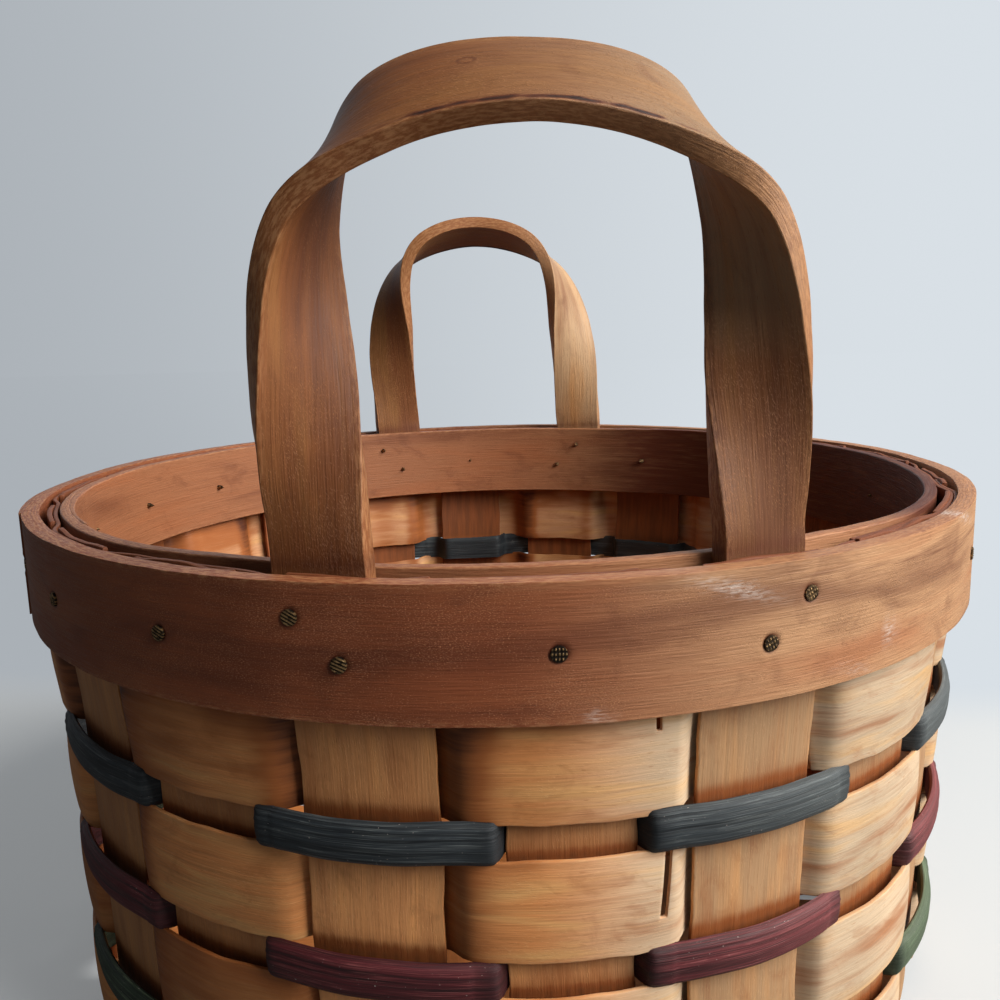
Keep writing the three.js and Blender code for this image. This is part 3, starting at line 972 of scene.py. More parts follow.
@dataclass
class Splints:
    """The ten long splints: woven into the base, and turned up as the wall's stakes."""

    wall: Wall
    finish: WoodFinish = STAKE_WOOD
    each_way: int = 5
    base_pitch: float = 28 * MM
    base_firmness: float = 5.0
    wide_width: float = 26.6 * MM
    top_trim: float = 0.4 * MM
    end_reach: float = 12 * MM
    waver: Wave = Wave(0.22 * MM, 50 * MM)
    edge_waver: Wave = Wave(0.18 * MM, 22 * MM)
    end_waver: Wave = Wave(0.5 * MM, 30 * MM)
    shadow: float = 0.66
    shadow_reach: float = 1.9 * MM
    rim_shadow: float = 0.6
    rim_shadow_reach: float = 2.5 * MM
    column_step: float = 1.8 * MM
    row_step: float = 2.4 * MM
    edge_radius: float = 0.28 * MM
    edge_wear: float = 0.7 * MM

    def build(self) -> None:
        """Makes all ten splints."""
        material = self.finish.material()
        for number in range(self.each_way):
            row = number - (self.each_way - 1) // 2
            self.splint(f"side_splint_{number + 1}", row, 0.0, True, material)
            self.splint(f"lengthwise_splint_{number + 1}", row, math.pi / 2, False, material)

    def half_path(self, row: int, under_first: bool) -> dict[str, Array]:
        """Follows half a splint from the middle of the base out and up to the rim.

        Args:
            row: which splint, counted from the middle one.
            under_first: whether it passes under at the middle crossing.

        Returns:
            The middle line's points, and at each the heading, slope and roundness.
        """
        wall = self.wall
        flat_end = self.base_pitch * (self.each_way - 1) / 2 + wall.stake_width / 2
        reach = float(wall.radius(np.array(wall.height))) - wall.foot_bend
        turn = row * wall.step
        ahead = np.array([math.cos(turn), math.sin(turn)])
        lift = (wall.stake + wall.fit_gap) / 2 * (-1 if under_first else 1)

        def upright(radius: Array, height: Array) -> Array:
            return np.column_stack([radius * ahead[0], radius * ahead[1], height])

        out = np.arange(0, flat_end, self.column_step)
        swing = np.tanh(self.base_firmness * np.cos(math.pi * out / self.base_pitch))
        rise = wall.base_level + lift * (-1) ** row * swing
        flat = np.column_stack([out, np.full_like(out, row * self.base_pitch), rise])

        share = np.linspace(0, 1, 24)[1:, None]
        start, end = np.array([flat_end, row * self.base_pitch]), reach * ahead
        lead = np.linalg.norm(end - start) / 3
        curve = (
            (1 - share) ** 3 * start
            + 3 * (1 - share) ** 2 * share * (start + [lead, 0])
            + 3 * (1 - share) * share**2 * (end - lead * ahead)
            + share**3 * end
        )
        fan_rise = rise[-1] + (wall.base_level - rise[-1]) * ease(share[:, 0], 0, 1)
        fan = np.column_stack([curve, fan_rise])
        way = np.gradient(np.vstack([start, curve]), axis=0)[1:]

        slope = np.linspace(0, math.pi / 2, 9)[1:]
        foot = upright(reach + wall.foot_bend * np.sin(slope),
                       wall.foot_top - wall.foot_bend * np.cos(slope))
        depth = np.arange(wall.height - self.column_step, self.top_trim, -self.column_step)
        depth = np.append(depth, self.top_trim)
        rising = upright(wall.radius(depth), wall.rim_top - depth)

        slopes = [np.zeros(len(flat) + len(fan)), slope, np.full(len(rising), math.pi / 2)]
        headings = [np.zeros(len(flat)), np.arctan2(way[:, 1], way[:, 0]),
                    np.full(len(foot) + len(rising), turn)]
        return {
            "points": np.vstack([flat, fan, foot, rising]),
            "heading": np.concatenate(headings),
            "slope": np.concatenate(slopes),
            "round": np.concatenate(slopes) / (math.pi / 2),
        }

    def splint(self, node: str, row: int, turn: float, under_first: bool,
               material: Material) -> None:
        """Makes one splint: up one side, across the base and up the other side.

        Args:
            node: the frame's node that it stands for.
            row: which splint, counted from the middle one.
            turn: the turn of its way about the basket's axis.
            under_first: whether it passes under at the middle crossing.
            material: its finish.
        """
        wall = self.wall
        half = self.half_path(row, under_first)
        heading, slope = half["heading"], half["slope"]
        side = np.stack([-np.sin(heading), np.cos(heading), np.zeros_like(heading)], axis=1)
        inward = np.stack(
            [-np.sin(slope) * np.cos(heading), -np.sin(slope) * np.sin(heading), np.cos(slope)],
            axis=1)
        spin = np.array(Matrix.Rotation(turn, 3, "Z"))

        def whole(values: Array, mirror: Array | float) -> Array:
            return np.concatenate([(values * mirror)[:0:-1], values])

        points, side, inward = (
            whole(each, np.array([-1.0, 1.0, 1.0])) @ spin.T
            for each in (half["points"], side, inward))
        roundness = whole(half["round"], 1.0)
        length = lengths_along(points)
        seed = 100 + 10 * row + (5 if under_first else 0)
        width = wall.stake_width if row == 0 else self.wide_width

        def surface(along: Array, across: Array) -> Array:
            from_middle = across - width / 2
            curl = np.interp(along, length, roundness)
            sag = curl * from_middle**2 / (2 * wall.stake_top_radius)
            edge = np.sign(from_middle) * self.edge_waver.at(seed + 1, along)
            shift = from_middle + edge * (np.abs(from_middle) / (width / 2)) ** 3
            shift = shift + self.waver.at(seed, along) * curl
            placed = read_at(points, length, along) + read_at(side, length, along) * shift[:, None]
            placed = placed + read_at(inward, length, along) * sag[:, None]
            ends = ease(np.minimum(along, length[-1] - along), self.end_reach, 0.0)
            placed[:, 2] += ends * self.end_waver.at(seed + 2, from_middle + along)
            return placed

        def on_surface(measure: Callable[[Array], Array]) -> Surface:
            return lambda along, across: measure(surface(along, across))

        def tone(along: Array, across: Array) -> Array:
            ends = np.random.default_rng(seed + 3).uniform(-0.7, 0.7, 2)
            own = ends[0] + (ends[1] - ends[0]) * ease(along, 0.2, 0.3)
            return own + self.painted_light_on_stake(surface(along, across))

        # The tone paints light on the stake left of the front, the grime mark is grime with painted
        # shade, and the pale mark is partly a painted sheen on the side toward the light.
        marks = {
            "edge": edge_mark(width, self.edge_wear, length[-1]),
            "tone": tone,
            "grime": on_surface(self.grime),
            "pale": on_surface(lambda points: wall.bleach_and_sheen(angle_at(points))),
            "stain": on_surface(lambda points: wall.stained(wall.rim_top - points[:, 2])),
        }
        rows = rows_across(width, self.row_step)
        piece = Bench.lay(f"{node}_strip", length, rows, surface, marks,
                          (seed * 0.173, seed * 0.061))
        Bench.thicken(piece, wall.stake)
        Bench.soften(piece, self.edge_radius)
        Bench.hand_over(piece, material, "stake_wood", node)

    def painted_light_on_stake(self, points: Array) -> Array:
        """Paints light on the stake to the left of the front one, on its front half and most in its
        lower half.

        Args:
            points: places on the splint.

        Returns:
            How much lighter each place is.
        """
        wall = self.wall
        turned = turn_from(angle_at(points), -wall.step)
        lower = ease(wall.rim_top - points[:, 2], 45 * MM, 75 * MM)
        near = 4.2 * np.exp(-((turned / 0.14) ** 4))
        near = near + 2.4 * lower * np.exp(-((turned / 0.45) ** 4))
        return near * (points[:, 1] < 0)

    def grime(self, points: Array) -> Array:
        """Paints shade, with some grime, on a stake under the rim and just above and below each
        weaver that crosses in front of it.

        Args:
            points: places on the splint.

        Returns:
            How dark each place is, from 0 to 1.
        """
        wall = self.wall
        depth = wall.rim_top - points[:, 2]
        even = np.rint(angle_at(points) / wall.step).astype(int) % 2 == 0
        dark = self.rim_shadow * np.exp(-np.abs(depth - wall.band_height) / self.rim_shadow_reach)
        wide = [(True, wall.wide_top(row), wall.splint_height) for row in range(4)]
        reeds = [(False, wall.reed_top(row), wall.reed_height) for row in range(3)]
        for kind, top, height in wide + reeds:
            away = np.maximum(top - depth, depth - top - height)
            shadow = np.exp(-np.maximum(away, 0) / self.shadow_reach) * self.shadow
            dark = np.maximum(dark, np.where(even == kind, shadow, 0))
        return dark


@dataclass
class Slit:
    """A split in a weaver, down from its upper edge."""

    angle: float
    lean: float
    width: float
    length: float
    lean_reach: float = 6 * MM


@dataclass
class Weaver:
    """One strip woven round the wall, with its two ends lapped."""

    node: str
    top: float
    height: float
    thickness: float
    swing: float
    side: int
    start: float
    turns: float
    seed: int
    is_pressed: bool = False
    starts_outside: bool = False
    comes_under: float = 0.7
    # Painted light and shade: painted shade at the left and further right, a painted highlight
    # across the front, and painted shade with some grime along the upper edge.
    left_shade: float = 0.0
    right_shade: float = 0.0
    front_light: float = 1.0
    upper_grime_and_shade: float = 0.3
    start_skew: float = 0.0
    slit: Slit | None = None
    # Painted shade further left: its strength, and the turns where it starts and where it is full.
    left_painted_shade: tuple[float, float, float] = (0.0, -0.1, -0.32)


@dataclass
class Weavers:
    """The four wide weavers and the binder that is pressed between the rim bands."""

    wall: Wall
    finish: WoodFinish = SPLINT_WOOD
    thickness: float = 1 * MM
    bulge: float = 0.9 * MM
    cup: float = 0.55 * MM
    cover: float = 0.25
    firmness: float = 6.0
    binder_firmness: float = 3.0
    overlap_up: float = 0.5 * MM
    binder_trim: float = 0.7 * MM
    binder_swing: float = 1.4 * MM
    lap_run: float = 9 * MM
    lap_lift: float = 0.52
    # How far the painted shade, with some grime, reaches in from the upper and the lower edge, and
    # how dark it is at the lower edge.
    upper_grime_and_shade_reach: float = 4.5 * MM
    lower_grime_and_shade_reach: float = 1.4 * MM
    lower_grime_and_shade: float = 0.2
    waver: Wave = Wave(0.28 * MM, 45 * MM)
    edge_waver: Wave = Wave(0.14 * MM, 19 * MM)
    lean: Wave = Wave(0.12 * MM, 60 * MM)
    columns_per_stake: int = 40
    row_step: float = 1.2 * MM
    edge_radius: float = 0.25 * MM
    edge_wear: float = 0.7 * MM

    def rows(self) -> list[Weaver]:
        """Lists the strips, from the rim down, with where each one starts and ends."""
        wall, turn, degree = self.wall, 2 * math.pi, math.pi / 180
        lapped = turn + 2 * wall.step
        starts = [(24.0 * degree, turn + 20 * degree), (234 * degree, lapped),
                  (126 * degree, lapped), (198 * degree, lapped)]
        strips = [
            Weaver(f"wide_weaver_{row + 1}", wall.wide_top(row), wall.splint_height,
                   self.thickness, wall.seat(self.thickness) + self.bulge, 1,
                   start, turns, 300 + row)
            for row, (start, turns) in enumerate(starts)
        ]
        first, second, third, _ = strips
        first.starts_outside = True
        first.start_skew = 2.6 * MM
        # The first strip, just under the rim, gets more painted shade along its upper edge, painted
        # shade at the left and right, and a brighter painted highlight.
        first.comes_under, first.upper_grime_and_shade = 1.1, 0.6
        first.left_shade, first.right_shade, first.front_light = 1.0, 0.8, 1.8
        first.slit = Slit(7.2 * degree, 0.0, 0.5 * MM, 3.6 * MM)
        first.left_painted_shade = (0.1, -0.1, -0.32)
        second.slit = Slit(8.6 * degree, -1.2 * MM, 0.7 * MM, 14.5 * MM)
        # Painted shade further left on the third strip.
        third.left_painted_shade = (0.3, -0.2, -0.45)
        binder = Weaver("rim_binder", self.binder_trim, wall.band_height - 2 * self.binder_trim,
                        wall.binder, self.binder_swing, -1, 30 * degree, turn + 40 * degree, 320,
                        is_pressed=True)
        return [*strips, binder]

    def build(self) -> None:
        """Makes the weavers and the binder."""
        material = self.finish.material()
        for strip in self.rows():
            piece = self.weave(strip)
            Bench.hand_over(piece, material, "splint_wood", strip.node)

    def weave(self, strip: Weaver) -> Piece:
        """Lays one strip in and out of the stakes.

        Args:
            strip: the strip's sizes and place.

        Returns:
            The finished piece.
        """
        wall = self.wall
        around = wall.stake_top_radius
        length = strip.turns * around
        loose = 0 if strip.is_pressed else 1
        height = strip.height + 2 * loose * self.overlap_up
        top = strip.top
        if top > wall.band_height + self.overlap_up:
            top -= self.overlap_up
        slit = strip.slit
        slit_at = ((slit.angle - strip.start) % (2 * math.pi)) * around if slit else 0.0
        weaving = (self.cover, self.firmness) if loose else (0.0, self.binder_firmness)

        def surface(along: Array, across: Array) -> Array:
            share = 2 * across / height - 1
            moved = along + strip.start_skew * (1 - share) / 2 * ease(along, 14 * MM, 0)
            if slit:
                near = np.exp(-(((along - slit_at) / slit.lean_reach) ** 2))
                moved = moved + slit.lean * (height - across) / slit.length * near
            angle = strip.start + moved / around
            bow = wall.weave(angle, strip.side, *weaving)
            own = 1 + 0.12 * np.sin(np.rint(angle / wall.step) * 12.9 + strip.seed)
            swing = strip.swing * bow
            if loose:
                swing = swing * own * wall.belly(angle, strip.side, bow)
            cup = loose * self.cup * bow * (1 - share**2)
            waver = self.waver.at(strip.seed, along)
            waver = waver + self.edge_waver.at(strip.seed + 7, along) * share
            depth = top + height - across + loose * waver
            lean = self.lean.at(strip.seed + 3, along) * share
            radius = wall.radius(depth) + swing + cup + self.lap_offset(along, length, strip)
            return on_wall(radius + lean, angle, wall.rim_top - depth)

        # The grime mark is grime with painted shade, the tone holds a painted highlight, and the
        # pale mark is partly a painted sheen on the side toward the light.
        marks = {
            "edge": edge_mark(height, self.edge_wear, length),
            "grime": lambda along, across: self.grime(strip, along, across, height),
            "tone": lambda along, across: self.tone(strip, along),
            "pale": lambda along, across: wall.bleach_and_sheen(strip.start + along / around),
            "stain": lambda along, across: wall.stained(top + height - across),
        }
        places = np.linspace(0, length, round(strip.turns / wall.step * self.columns_per_stake) + 1)
        grain = (strip.seed * 0.157, strip.seed * 0.083)
        if slit:
            places = finer_near(places, [slit_at], 2 * slit.width, slit.width)
        rows = rows_across(height, self.row_step)
        piece = Bench.lay(f"{strip.node}_strip", places, rows, surface, marks, grain)
        if slit:
            Bench.cut_slit(piece, lambda u, v: (
                (np.abs(u - grain[0] - slit_at) < 0.75 * slit.width)
                & (height - (v - grain[1]) < slit.length)))
        Bench.thicken(piece, strip.thickness)
        Bench.soften(piece, self.edge_radius)
        return piece

    def grime(self, strip: Weaver, along: Array, across: Array, height: float) -> Array:
        """Paints shade, with some grime, where a strip ducks behind a stake, along its long edges
        and at the left of the front, with less of it on the side toward the light.

        Args:
            strip: the strip.
            along: the places along it.
            across: the places across it.
            height: its height with what the scene adds to it.

        Returns:
            How dark each place is, from 0 to 1.
        """
        wall = self.wall
        angle = strip.start + along / wall.stake_top_radius
        turned = turn_from(angle)
        swing = strip.side * np.cos(angle * wall.stakes / 2)
        leaving = np.sin(angle * wall.stakes / 2) * strip.side > 0
        coming = ease(swing, strip.comes_under, -0.4)
        shaded = ease(turned, -0.15, -0.3) * strip.left_shade
        going = np.maximum(ease(swing, -0.25, -0.5), shaded * ease(swing, 0.5, -0.35))
        ducking = np.where(leaving, going, coming) * (1 - 0.75 * ease(swing, -0.5, -0.8))
        uneven = 0.75 + 0.4 * ripple(strip.seed + 11, along, 0.03)
        upper = np.exp(-(height - across) / self.upper_grime_and_shade_reach) * strip.upper_grime_and_shade
        lower = np.exp(-across / self.lower_grime_and_shade_reach) * self.lower_grime_and_shade
        much, start, end = strip.left_painted_shade
        dark = (ducking * 0.75 + upper + lower) * uneven + much * ease(turned, start, end)
        return np.clip(dark * (1 - 0.85 * wall.bleach_and_sheen(angle, -0.08, 0.12)), 0, 0.95)

    def tone(self, strip: Weaver, along: Array) -> Array:
        """Makes each stretch of a strip a little lighter or darker than the next, and paints a
        highlight across the front and shade further right.

        Args:
            strip: the strip.
            along: the places along it.

        Returns:
            How much lighter each place is.
        """
        wall = self.wall
        angle = strip.start + along / wall.stake_top_radius
        own = 0.6 * np.sin(np.rint(angle / wall.step) * 2.4 + strip.seed * 1.7)
        own = own + 0.6 * ripple(strip.seed + 5, along, 0.05)
        middle = np.exp(-((turn_from(angle, 0.06) / 0.09) ** 2)) * strip.front_light
        return own + middle - strip.right_shade * wall.bleach_and_sheen(angle, 0.45, 0.6)

    def lap_offset(self, along: Array, length: float, strip: Weaver) -> Array:
        """Moves the two ends of a strip in and out by half a thickness where they lap."""
        lap = length - 2 * math.pi * self.wall.stake_top_radius
        start = ease(along, lap + self.lap_run, lap)
        end = ease(along, length - lap - self.lap_run, length - lap)
        outwards = -1 if strip.starts_outside else 1
        return (end - start) * self.lap_lift * strip.thickness * outwards


@dataclass
class Reeds:
    """The three dyed half-round reeds, woven against the wide weavers."""

    wall: Wall
    thickness: float = 2.4 * MM
    bulge: float = 1.0 * MM
    height: float = 8.6 * MM
    girth: float = 2.6
    rounded: float = 0.64
    squareness: float = 0.45
    rib_height: float = 0.075 * MM
    cover: float = 0.4
    narrow_cover: float = 0.47
    firmness: float = 12.0
    waver: Wave = Wave(0.3 * MM, 50 * MM)
    columns_per_stake: int = 60
    around_count: int = 30
    shaved: float = 0.45

    def build(self) -> None:
        """Makes the three reeds."""
        for row, colour in enumerate(ReedColour):
            piece = self.reed(row, colour.node)
            Bench.hand_over(piece, colour.value.material(), colour.node, colour.node)

    def section(self, turn: Array, along: Array, seed: int) -> tuple[Array, Array]:
        """Draws the reed's ribbed section: round in front and flat behind.

        Args:
            turn: the share of the way round the section.
            along: the place along the reed.
            seed: the reed's own seed.

        Returns:
            How high each point lies, from -1 to 1, and how far out, from 0 to 1.
        """
        face = np.clip(turn / self.rounded, 0, 1) * math.pi - math.pi / 2
        back = np.clip((turn - self.rounded) / (1 - self.rounded), 0, 1)
        is_front = turn <= self.rounded
        upward = np.where(is_front, np.sin(face), 1 - 2 * back)
        out = np.where(is_front, np.cos(face) ** self.squareness, 0.0)
        ribs = np.cos(upward * 17 + 0.8 * ripple(seed, along, 0.08)) * is_front
        ribs = ribs + 0.6 * np.cos(upward * 29 + 2.0)
        return upward, out + ribs * self.rib_height / self.thickness * np.sqrt(out)

    def reed(self, row: int, node: str) -> Piece:
        """Lays one reed in and out of the stakes, its ends shaved and lapped.

        Args:
            row: which row, from the rim down.
            node: the frame's node that it stands for.

        Returns:
            The finished piece.
        """
        wall = self.wall
        around = wall.stake_top_radius
        start = (8 + 2 * row) * wall.step
        lap = 2 * wall.step * around
        length = 2 * math.pi * around + lap
        columns = round(length / around / wall.step * self.columns_per_stake)
        seed = 400 + row
        middle_depth = wall.reed_top(row) + wall.reed_height / 2

        def surface(along: Array, turn: Array) -> Array:
            angle = start + along / around
            upward, out = self.section(turn, along, seed)
            is_narrow = np.rint(angle / (2 * wall.step)) % 5 == 0
            cover = np.where(is_narrow, self.narrow_cover, self.cover)
            bow = wall.weave(angle, -1, cover, self.firmness)
            first_end, last_end = ease(along, lap, 0), ease(along, length - lap, length)
            thin = 1 - (1 - self.shaved) * (first_end + last_end)
            own = 1 + 0.08 * np.sin(np.rint(angle / wall.step) * 7.1 + seed)
            swing = bow * (wall.seat(self.thickness) + self.bulge) * own
            swing = swing * wall.belly(angle, -1, bow)
            depth = middle_depth + self.waver.at(seed + 2, along) - upward * self.height / 2
            out = out - 0.5 + (last_end - first_end) / 2
            radius = wall.radius(depth) + swing + out * self.thickness * thin
            return on_wall(radius, angle, wall.rim_top - depth)

        def grime(along: Array, turn: Array) -> Array:
            # Painted shade, with some grime, where the reed passes behind a stake.
            swing = -np.cos((start + along / around) * wall.stakes / 2)
            return ease(swing, 0.1, -0.35) * 0.8

        marks = {
            "grime": grime,
            # Paler on the side toward the light: partly a painted sheen.
            "pale": lambda along, turn: wall.bleach_and_sheen(start + along / around, 0.1, 0.6),
            "through": lambda along, turn: np.ones_like(along),
        }
        places = np.linspace(0, length, columns + 1)
        rings = np.linspace(0, 1, self.around_count + 1)
        piece = Bench.lay(f"{node}_strip", places, rings, surface, marks, (seed * 0.19, 0))
        self.chart_in_metres(piece)
        self.close(piece)
        return piece

    def chart_in_metres(self, piece: Piece) -> None:
        """Turns the chart's turn round the section into metres."""
        chart = piece.data.uv_layers.active.data
        values = np.empty(len(chart) * 2)
        chart.foreach_get("uv", values)
        values[1::2] *= self.girth * self.height
        chart.foreach_set("uv", values)

    def close(self, piece: Piece) -> None:
        """Joins the section's seam, caps both ends and points the faces outwards."""
        Bench.take(piece)
        bpy.ops.object.mode_set(mode="EDIT")
        bpy.ops.mesh.select_all(action="SELECT")
        bpy.ops.mesh.remove_doubles(threshold=0.01 * MM)
        bpy.ops.mesh.select_all(action="DESELECT")
        bpy.ops.mesh.select_mode(type="EDGE")
        bpy.ops.mesh.select_non_manifold()
        bpy.ops.mesh.edge_face_add()
        bpy.ops.mesh.select_all(action="SELECT")
        bpy.ops.mesh.normals_make_consistent(inside=False)
        bpy.ops.object.mode_set(mode="OBJECT")
        Bench.smooth(piece)


@dataclass
class PathPoint:
    """A station on a handle's middle line, as shares of the handle's own size."""

    along: float
    out: float
    up: float
    lean: float
    twist: float


@dataclass
class Handle:
    """One handle's place, size and path from the top of its arch down to a leg, with the light and
    shade painted along it.
    """

    node: str
    angle: float
    leg_offset: float
    rise: float
    half_span: float
    sway: float
    width: float
    seed: int
    path: tuple[PathPoint, ...]
    # By place along the handle, from -1 to 1: paler, partly bleached and partly a painted sheen,
    # and darker with painted shade, where a value below 0 paints light.
    pale_and_sheen: tuple[tuple[float, float], ...]
    painted_shade: tuple[tuple[float, float], ...]


HANDLES = (
    Handle(
        node="front_handle",
        angle=math.radians(-1.5),
        leg_offset=4.5 * MM,
        rise=81.9 * MM,
        half_span=41.1 * MM,
        sway=-2.6 * MM,
        width=18.6 * MM,
        seed=500,
        path=(
            PathPoint(0.0, 0.0, 1.0, -2.4, 43),
            PathPoint(0.22, 0.59, 0.944, -1.4, 36.5),
            PathPoint(0.44, 0.93, 0.749, 0.8, -21),
            PathPoint(0.7, 0.995, 0.363, 0.5, -71),
        ),
        pale_and_sheen=((-0.12, 0), (0.05, 0.4), (0.2, 1), (0.46, 0.9), (0.56, 0.1)),
        painted_shade=((-0.62, 1.6), (-0.5, 0.8), (-0.36, 1.8), (-0.2, 2.2), (-0.06, 1.9), (0.3, 2.0),
                  (0.5, 0.6), (0.6, 1.8), (0.8, 4.0)),
    ),
    Handle(
        node="back_handle",
        angle=math.radians(176),
        leg_offset=0.5 * MM,
        rise=77.8 * MM,
        half_span=36 * MM,
        sway=4 * MM,
        width=17 * MM,
        seed=510,
        path=(
            PathPoint(0.0, 0.0, 1.0, -0.7, 22),
            PathPoint(0.22, 0.54, 0.94, 0.3, 14),
            PathPoint(0.44, 0.86, 0.77, 0.3, -24),
            PathPoint(0.7, 1.0, 0.44, 0.2, -74),
        ),
        pale_and_sheen=((-0.9, 1), (-0.25, 1), (-0.12, 0.2), (0.1, 0)),
        painted_shade=((-0.9, -4.4), (-0.3, -3.6), (0.0, 0.8), (0.25, 2.4), (0.5, 3.6), (0.9, 2.4)),
    ),
)


@dataclass
class Scuff:
    """A chalky rub on the outer band, by its place and its size."""

    degrees: float
    below_top: float
    length: float
    height: float
    share: float


SCUFFS = (
    Scuff(13.0, 3.6 * MM, 7.0 * MM, 1.1 * MM, 0.7),
    Scuff(31.0, 18.0 * MM, 1.3 * MM, 2.4 * MM, 0.75),
    Scuff(47.0, 0.6 * MM, 8.0 * MM, 0.7 * MM, 0.7),
    Scuff(1.5, 24.4 * MM, 2.0 * MM, 1.0 * MM, 0.5),
    Scuff(26.0, 23.6 * MM, 5.0 * MM, 0.8 * MM, 0.35),
)


@dataclass
class RimBands:
    """The outer and inner bands, lapped and nailed through the stakes and handle legs."""

    wall: Wall
    nails: list[Vector]
    finish: WoodFinish = BAND_WOOD
    push_ease: float = 40 * MM
    push_spare: float = 2.5 * MM
    dent_radius: float = 1.7 * MM
    dent_depth: float = 0.32 * MM
    column_step: float = 2.6 * MM
    row_step: float = 1.6 * MM
    dent_step: float = 0.55 * MM
    lap: float = math.radians(36)
    outer_start: float = math.radians(-108)
    inner_start: float = math.radians(-96)
    edge_radius: float = 0.7 * MM
    edge_wear: float = 0.6 * MM
    lap_tip: float = 0.3
    lap_lift: float = 0.5 * MM
    outer_trim: float = 0.1 * MM
    bend_wave: Wave = Wave(0.18 * MM, 110 * MM)
    face_wave: Wave = Wave(0.06 * MM, 30 * MM)
    sway: Wave = Wave(0.22 * MM, 160 * MM)
    nicks: Wave = Wave(0.05 * MM, 14 * MM)

    def build(self) -> None:
        """Makes both bands."""
        material = self.finish.material()
        for node, is_outer in (("outer_rim_band", True), ("inner_rim_band", False)):
            piece = self.band(node, is_outer)
            Bench.hand_over(piece, material, "band_wood", node)

    @property
    def nail_spots(self) -> list[tuple[float, float]]:
        """Lists the angle and the height of each nail."""
        return [(math.atan2(nail.x, -nail.y), nail.z) for nail in self.nails]

    def inner_face(self, angle: Array) -> Array:
        """Gives the inner band's outer radius, pushed in where it passes a handle leg."""
        wall = self.wall
        binder_inner = wall.stake_top_radius - wall.seat(wall.binder) - wall.binder / 2
        at_sides = binder_inner * math.cos(wall.stake_half_angle / 2) - wall.fit_gap
        at_legs = wall.leg_outer_plane - wall.handle - wall.fit_gap
        pushed = np.zeros_like(angle)
        for handle in HANDLES:
            leg = wall.step + handle.leg_offset / wall.leg_radius
            reach = leg + (wall.handle_width / 2 + self.push_spare) / wall.leg_radius
            away = np.abs(turn_from(angle, handle.angle)) - reach
            pushed = np.maximum(pushed, 1 - ease(away, 0, self.push_ease / wall.leg_radius))
        return at_sides + (at_legs - at_sides) * pushed

    def from_nails(self, angle: Array, height: Array, radius: float) -> list[Array]:
        """Gives how far each point lies from each nail, in radii of the nail's dent.

        Args:
            angle: the angle of each point.
            height: the height of each point.
            radius: the radius at which the surface lies.

        Returns:
            The distances, one array for each nail.
        """
        return [
            np.hypot(turn_from(angle, where) * radius, height - level) / self.dent_radius
            for where, level in self.nail_spots
        ]

    def dent(self, share: Array) -> Array:
        """Gives how deep the wood is sunk round a nail, inside a raised lip."""
        lip = 0.22 * np.exp(-((share - 1.45) ** 2) / 0.09)
        return (np.exp(-(share**4)) - lip) * self.dent_depth

    def smooth_strip(self, turned: Array, below_top: Array) -> tuple[Array, Array]:
        """Draws the smooth pale strip along the outer band's upper edge.

        Args:
            turned: the turn of each point from the front.
            below_top: how far each point lies below the band's upper edge.

        Returns:
            Where the strip is, and where its lower border is.
        """
        line = 1.2 * MM + 5.2 * MM * ease(turned, math.radians(-8), math.radians(60))
        shown = ease(turned, -0.14, -0.02)
        border = np.exp(-(((below_top - line) / (0.3 * MM)) ** 2))
        return ease(below_top, line + 0.25 * MM, line) * shown, border * shown

    @staticmethod
    def chalk(turned: Array, below_top: Array, around: float) -> Array:
        """Dusts the outer band with chalky scuffs.

        Args:
            turned: the turn of each point from the front.
            below_top: how far each point lies below the band's upper edge.
            around: the radius at which the surface lies.

        Returns:
            How chalky each point is.
        """
        dust = np.zeros_like(turned)
        for scuff in SCUFFS:
            beside = (turned - math.radians(scuff.degrees)) * around
            below = below_top - scuff.below_top - 0.3 * beside
            off = (beside / scuff.length) ** 2 + (below / scuff.height) ** 2
            dust = np.maximum(dust, scuff.share * np.exp(-off))
        return dust

    def band(self, node: str, is_outer: bool) -> Piece:
        """Bends one band round, scarfed where its ends lap.

        Args:
            node: the frame's node that it stands for.
            is_outer: whether it is the outer band.

        Returns:
            The finished piece.
        """
        wall = self.wall
        seed = 600 if is_outer else 610
        around = wall.rim_radius if is_outer else wall.leg_radius
        thickness = wall.outer_band if is_outer else wall.inner_band
        start = self.outer_start if is_outer else self.inner_start
        length = (2 * math.pi + self.lap) * around
        lap = self.lap * around
        height = wall.band_height
        facing = 1 if is_outer else -1

        def outwards(along: Array) -> Array:
            return along if is_outer else length - along

        def angle_of(along: Array) -> Array:
            return start + outwards(along) / around

        def surface(along: Array, across: Array) -> Array:
            angle = angle_of(along)
            rise = wall.rim_top - height + across
            sunk = sum(self.dent(share) for share in self.from_nails(angle, rise, around))
            sunk = sunk * (1 if is_outer else 0.1)
            under = ease(outwards(along), lap, 0) * (1 - self.lap_tip) * thickness
            over = ease(outwards(along), length - lap, length) * self.lap_lift
            if is_outer:
                radius = np.full_like(along, wall.rim_radius - self.outer_trim)
            else:
                radius = self.inner_face(angle) - thickness
            uneven = self.bend_wave.at(seed, along) + self.face_wave.at(seed + 1, along)
            radius = radius + uneven - facing * (sunk + under - over)
            nick = self.nicks.at(seed + 3, along) * (2 * across / height - 1)
            sway = (self.sway.at(seed + 2, along) + nick) * ease(across, 0, height)
            return on_wall(radius, angle, rise + sway)

        def strip(along: Array, across: Array) -> tuple[Array, Array]:
            if is_outer:
                return self.smooth_strip(turn_from(angle_of(along)), height - across)
            return np.zeros_like(along), np.zeros_like(along)

        def smooth(along: Array, across: Array) -> Array:
            return strip(along, across)[0] if is_outer else np.full_like(along, 0.75)

        def pale(along: Array, across: Array) -> Array:
